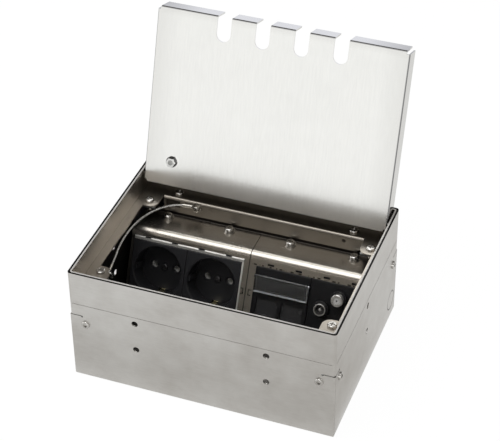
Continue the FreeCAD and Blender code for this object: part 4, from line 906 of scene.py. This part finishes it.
@dataclass
class DataModule:
    """Data module with its jacks, shutters and label window."""

    plate: Moulding = Moulding("black_data_plate", tint=(0.008, 0.008, 0.009), roughness=0.36, gloss=0.32)
    shutter: Moulding = Moulding("gloss_shutters", tint=(0.030, 0.030, 0.032), worn=(0.032, 0.032, 0.036),
                                 roughness=0.24, texture_depth=0.08, dust_share=0.12)
    jack: Moulding = Moulding("black_jacks", tint=(0.014, 0.014, 0.015), roughness=0.5)
    window: ClearMoulding = ClearMoulding("clear_label_window")
    card: Card = Card("blank_card")

    def build(self) -> None:
        """Dress the data module."""
        dress(self.plate.build(), "data_frame")
        dress(self.shutter.build(), "shutter_left", "shutter_right")
        dress(self.jack.build(), "rj45_jack_left", "rj45_jack_right")
        dress(self.window.build(), "label_window")
        dress(self.card.build(), "label_strip")


@dataclass
class AntennaModule:
    """Antenna module with its three coaxial connectors."""

    plate: Moulding = Moulding("black_antenna_plate", tint=(0.009, 0.009, 0.010), roughness=0.40,
                               gloss=0.32)
    can: Plating = Plating("die_cast_can", tint=(0.16, 0.16, 0.165), tarnish=(0.10, 0.10, 0.10),
                           roughness=0.5)
    connector: Plating = Plating("nickel_connectors", tint=(0.88, 0.87, 0.85),
                                 tarnish=(0.60, 0.59, 0.56), roughness=0.32)
    insulator: Moulding = InsulatorMoulding("dark_insulators", tint=(0.035, 0.034, 0.033),
                                            worn=(0.06, 0.06, 0.058), roughness=0.45)

    def build(self) -> None:
        """Dress the antenna module."""
        dress(self.plate.build(), "antenna_plate")
        dress(self.can.build(), "antenna_housing")
        dress(self.connector.build(), "tv_connector", "radio_connector", "sat_connector")
        dress(self.insulator.build(), "connector_insulators")


@dataclass
class Lid:
    """Hinged lid pan with its earth screw."""

    pan: SheetSteel = LidSheet("brushed_lid", tint=(0.79, 0.79, 0.775), shade=(0.75, 0.75, 0.735),
                               roughness=0.13, spread=0.03, grain=Grain.UP_THE_LID, grain_depth=0.36,
                               patch_scale=14.0, lines_per_metre=850.0, stretch=0.10, streak=0.16)
    screw: Plating = Plating("plated_lid_screw", tint=(0.34, 0.34, 0.33), tarnish=(0.12, 0.12, 0.12),
                             roughness=0.14)
    washer: Plating = Plating("dark_lid_washer", tint=(0.10, 0.10, 0.10), tarnish=(0.06, 0.06, 0.06),
                              roughness=0.25)
    nut: Plating = Plating("plated_lid_nut", tint=(0.66, 0.66, 0.65), tarnish=(0.20, 0.20, 0.195),
                           roughness=0.16)

    def build(self) -> None:
        """Dress the lid."""
        dress(self.pan.build(), "lid_pan")
        dress(self.screw.build(), "lid_earth_screw")
        dress(self.washer.build(), "lid_earth_washer")
        dress(self.nut.build(), "lid_earth_nut")


@dataclass
class WireRope:
    """Stranded steel rope with its end fittings."""

    diameter: float = 0.0015
    strands: int = 6
    strand_radii_across: float = 6.0
    lay_length: float = 0.010
    sides: int = 6
    points_per_span: int = 24
    route: tuple[Point, ...] = (
        (-0.08430, -0.04400, 0.08115),
        (-0.08600, -0.03198, 0.08105),
        (-0.08920, -0.01649, 0.08075),
        (-0.09030, 0.00198, 0.08045),
        (-0.08850, 0.01949, 0.07995),
        (-0.08360, 0.03450, 0.07890),
        (-0.07660, 0.04556, 0.07790),
        (-0.06840, 0.05162, 0.07730),
        (-0.06150, 0.05220, 0.07725),
    )
    wire: Plating = Plating("bright_rope_wire", tint=(0.66, 0.66, 0.64), tarnish=(0.36, 0.35, 0.32),
                            roughness=0.26)
    crimp: Plating = Plating("plated_crimps", tint=(0.46, 0.44, 0.40), roughness=0.26)

    def centreline(self) -> list[Vector]:
        """Points of the rope's smooth line.

        Returns:
            Points read from the route's NURBS spline, less than a millimetre apart.
        """
        curve = bpy.data.curves.new("rope_route", "CURVE")
        curve.dimensions = "3D"
        spline = curve.splines.new("NURBS")
        spline.points.add(len(self.route) - 1)
        for point, place in zip(spline.points, self.route):
            point.co = (*place, 1.0)
        spline.order_u = 3
        spline.use_endpoint_u = True
        spline.resolution_u = self.points_per_span
        holder = bpy.data.objects.new("rope_route", curve)
        bpy.context.scene.collection.objects.link(holder)
        mesh = bpy.data.meshes.new_from_object(holder.evaluated_get(bpy.context.evaluated_depsgraph_get()))
        line = [vertex.co.copy() for vertex in mesh.vertices]
        bpy.data.meshes.remove(mesh)
        bpy.data.objects.remove(holder)
        bpy.data.curves.remove(curve)
        return line

    @staticmethod
    def crosswise(line: list[Vector]) -> list[tuple[Vector, Vector]]:
        """Find two directions across the line at each of its points.

        Args:
            line: Points of the rope's centreline.

        Returns:
            For each point, a level direction, and one square to it and to the line.
        """
        upright = Vector((0.0, 0.0, 1.0))
        pairs = []
        for i in range(len(line)):
            heading = (line[min(i + 1, len(line) - 1)] - line[max(i - 1, 0)]).normalized()
            side = heading.cross(upright).normalized()
            pairs.append((side, side.cross(heading).normalized()))
        return pairs

    @staticmethod
    def around(pair: tuple[Vector, Vector], turn: float, radius: float) -> Vector:
        """Offset across the line at a turn and a radius."""
        side, up = pair
        return (side * math.cos(turn) + up * math.sin(turn)) * radius

    def strand_mesh(self, line: list[Vector]) -> bpy.types.Mesh:
        """Twist the strands round the line.

        Args:
            line: Points of the rope's centreline.

        Returns:
            A mesh with one closed tube for each strand and one for the core.
        """
        strand_r = self.diameter / self.strand_radii_across
        pairs = self.crosswise(line)
        run = [0.0]
        for a, b in zip(line, line[1:]):
            run.append(run[-1] + (b - a).length)
        turns = [2.0 * math.pi * k / self.sides for k in range(self.sides)]
        shape = bmesh.new()
        for strand in range(self.strands + 1):
            offset = 0.0 if strand == self.strands else self.diameter / 2.0 - strand_r
            rings = []
            for centre, pair, far in zip(line, pairs, run):
                lay = 2.0 * math.pi * (strand / self.strands + far / self.lay_length)
                middle = centre + self.around(pair, lay, offset)
                rings.append([shape.verts.new(middle + self.around(pair, turn, strand_r))
                              for turn in turns])
            for a, b in zip(rings, rings[1:]):
                for k in range(self.sides):
                    m = (k + 1) % self.sides
                    shape.faces.new((a[k], a[m], b[m], b[k]))
            shape.faces.new(list(reversed(rings[0])))
            shape.faces.new(rings[-1])
        mesh = bpy.data.meshes.new("rope_strands")
        bmesh.ops.recalc_face_normals(shape, faces=shape.faces)
        for face in shape.faces:
            face.smooth = len(face.verts) == 4
        shape.to_mesh(mesh)
        shape.free()
        return mesh

    def build(self) -> None:
        """Make the strands and dress the fittings."""
        line = self.centreline()
        wire = self.wire.build()
        mesh = self.strand_mesh(line)
        mesh.materials.append(wire)
        rope = bpy.data.objects.new("rope_strands", mesh)
        bpy.context.scene.collection.objects.link(rope)
        length = sum((b - a).length for a, b in zip(line, line[1:]))
        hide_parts("wire_rope")
        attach(rope, "box")
        LOG.info("rope of %d strands, %.1f mm long", self.strands, length * 1000.0)
        dress(wire, "rope_hook")
        dress(self.crimp.build(), "rope_ferrule", "rope_terminal", "rope_screw", "rope_lock_washer")


@dataclass
class Studio:
    """Floor, light and camera.

    The floor looks white to the camera. What the metal mirrors of it is shaded in front of the box
    and to its right, as by dark things in the room.
    """

    floor_half: float = 1.8
    floor_level: float = -0.0004
    floor_grey: float = 0.62
    floor_white: Colour = (1.0, 1.0, 0.99)
    floor_glow: float = 1.04
    camera_share: float = 0.93
    glossy_share: float = 0.76
    before: Range = (0.06, 0.10)
    floor_right: Colour = (0.635, 0.61, 0.58)
    right: Range = (-0.16, 0.14)
    floor_near: Colour = (0.47, 0.455, 0.43)
    near: Range = (0.20, 0.10)
    near_share: float = 0.65
    floor_aside: Colour = (0.64, 0.62, 0.59)
    aside: Range = (0.104, 0.112)
    aside_forward: Range = (-0.08, 0.0)
    aside_share: float = 0.65
    camera_place: Point = (0.35933, -0.93014, 0.88787)
    azimuth: float = 20.495
    elevation: float = 37.542
    roll: float = -0.491
    lens: float = 123.26
    sensor: float = 36.0
    shift_x: float = -0.0026
    shift_y: float = -0.0107
    far_clip: float = 50.0
    world_strength: float = 1.5
    diffuse_grey: float = 0.30
    front: Range = (-0.1, 0.6)
    front_tones: tuple[tuple[float, Colour], ...] = (
        (0.0, (0.60, 0.60, 0.60)), (0.46, (0.75, 0.75, 0.74)), (0.56, (0.74, 0.74, 0.73)),
        (0.66, (0.16, 0.15, 0.14)), (0.92, (0.14, 0.13, 0.12)), (1.0, (0.40, 0.40, 0.40)))
    back_tones: tuple[tuple[float, Colour], ...] = (
        (0.0, (0.50, 0.50, 0.50)), (0.46, (0.60, 0.60, 0.615)), (0.55, (0.60, 0.60, 0.62)),
        (0.66, (0.13, 0.12, 0.11)), (0.92, (0.14, 0.13, 0.12)), (1.0, (0.40, 0.40, 0.40)))
    lamps: tuple[tuple[str, Point, Point, float, float], ...] = (
        ("overhead_softbox", (-0.3, -0.4, 1.9), (0.0, 0.0, 0.05), 1.5, 17.0),
        ("front_fill", (0.7, -1.9, 0.8), (0.0, 0.0, 0.08), 1.2, 9.0),
        ("left_fill", (-1.7, -0.3, 0.9), (0.0, 0.0, 0.08), 1.0, 7.0))

    def build(self) -> None:
        """Make the floor, the world, the lamps and the camera."""
        self._floor()
        self._world()
        for lamp in self.lamps:
            self._lamp(*lamp)
        self._camera()
        bpy.context.scene.view_settings.view_transform = "Standard"

    def _floor(self) -> None:
        """Pale floor that looks white to the camera and keeps the box's shadow."""
        mesh = bpy.data.meshes.new("floor")
        h, z = self.floor_half, self.floor_level
        mesh.from_pydata([(-h, -h, z), (h, -h, z), (h, h, z), (-h, h, z)], [], [(0, 1, 2, 3)])
        floor = bpy.data.objects.new("floor", mesh)
        bpy.context.scene.collection.objects.link(floor)
        shader = Shader("pale_floor")
        grey = (self.floor_grey,) * 3 + (1.0,)
        matt = shader.out(shader.node("ShaderNodeBsdfDiffuse", {}, {"Color": grey}), 0)
        path = shader.node("ShaderNodeLightPath")
        seen, mirrored = (shader.out(path, key) for key in ("Is Camera Ray", "Is Glossy Ray"))
        tone = shader.blend(seen, self._mirrored_tone(shader), (1.0, 1.0, 1.0))
        glow = shader.node("ShaderNodeEmission", {}, {"Color": tone, "Strength": self.floor_glow})
        share = seen * self.camera_share + mirrored * self.glossy_share
        mixed = shader.node("ShaderNodeMixShader", {}, {0: share, 1: matt, 2: shader.out(glow, 0)})
        shader.node("ShaderNodeOutputMaterial", {}, {"Surface": shader.out(mixed, 0)})
        mesh.materials.append(shader.owner)

    def _mirrored_tone(self, shader: Shader) -> Signal:
        """Colour of the floor as the metal mirrors it.

        Args:
            shader: The floor's shader.

        Returns:
            The colour.
        """
        aside = shader.component(shader.place, "X")
        ahead = shader.component(shader.place, "Y") * -1.0
        before = shader.ramp(ahead, *self.before)
        right = shader.ramp(aside, *self.right)
        near = shader.ramp(ahead, *self.near) * before
        tone = shader.blend(right * before, self.floor_white, self.floor_right)
        tone = shader.blend(near * self.near_share, tone, self.floor_near)
        beside = shader.ramp(aside, *self.aside)
        forward = shader.ramp(ahead, *self.aside_forward)
        share = forward * self.aside_share + (1.0 - self.aside_share)
        return shader.blend(beside * share, tone, self.floor_aside)

    def _world(self) -> None:
        """Even studio surround, white where the camera sees it."""
        shader = Shader("studio", world=True)
        bpy.context.scene.world = shader.owner
        heading = shader.out(shader.node("ShaderNodeTexCoord"), "Generated")
        height = shader.component(heading, "Z") * 0.5 + 0.5
        front = shader.ramp(shader.component(heading, "Y") * -1.0, *self.front)
        behind, ahead = (shader.out(shader.node("ShaderNodeValToRGB", {"stops": stops}, {0: height}), 0)
                         for stops in (self.back_tones, self.front_tones))
        path = shader.node("ShaderNodeLightPath")
        lit = shader.blend(shader.out(path, "Is Glossy Ray"), (self.diffuse_grey,) * 3,
                           shader.blend(front, behind, ahead))
        shown = shader.blend(shader.out(path, "Is Camera Ray"), lit, (1.0 / self.world_strength,) * 3)
        back = shader.node("ShaderNodeBackground", {}, {"Color": shown, "Strength": self.world_strength})
        shader.node("ShaderNodeOutputWorld", {}, {"Surface": shader.out(back, 0)})

    @staticmethod
    def _lamp(name: str, place: Point, target: Point, size: float, power: float) -> None:
        """Add one square softbox.

        Args:
            name: Name of the lamp.
            place: Where it stands.
            target: Where it points.
            size: Length of its sides.
            power: Power in watts.
        """
        light = bpy.data.lights.new(name, "AREA")
        light.shape = "SQUARE"
        light.size = size
        light.energy = power
        lamp = bpy.data.objects.new(name, light)
        lamp.location = place
        lamp.rotation_euler = (Vector(target) - Vector(place)).to_track_quat("-Z", "Y").to_euler()
        bpy.context.scene.collection.objects.link(lamp)

    def _camera(self) -> None:
        """Set the camera."""
        data = bpy.data.cameras.new("camera")
        data.lens = self.lens
        data.sensor_width = self.sensor
        data.shift_x, data.shift_y = self.shift_x, self.shift_y
        data.clip_end = self.far_clip
        camera = bpy.data.objects.new("camera", data)
        turn = Matrix.Rotation(math.radians(self.azimuth), 4, "Z") @ \
            Matrix.Rotation(math.radians(90.0 - self.elevation), 4, "X") @ \
            Matrix.Rotation(math.radians(self.roll), 4, "Z")
        camera.matrix_world = Matrix.Translation(self.camera_place) @ turn
        bpy.context.scene.collection.objects.link(camera)
        bpy.context.scene.camera = camera


def main() -> None:
    """Build every sub-assembly in order."""
    logging.basicConfig(level=logging.INFO, format="%(name)s: %(message)s")
    for part in (Studio(), WireRope(), Enclosure(), DeviceCarriers(), MainsSockets(),
                 DataModule(), AntennaModule(), Lid()):
        part.build()
        LOG.info("built %s", type(part).__name__)


if __name__ == "__main__":
    main()
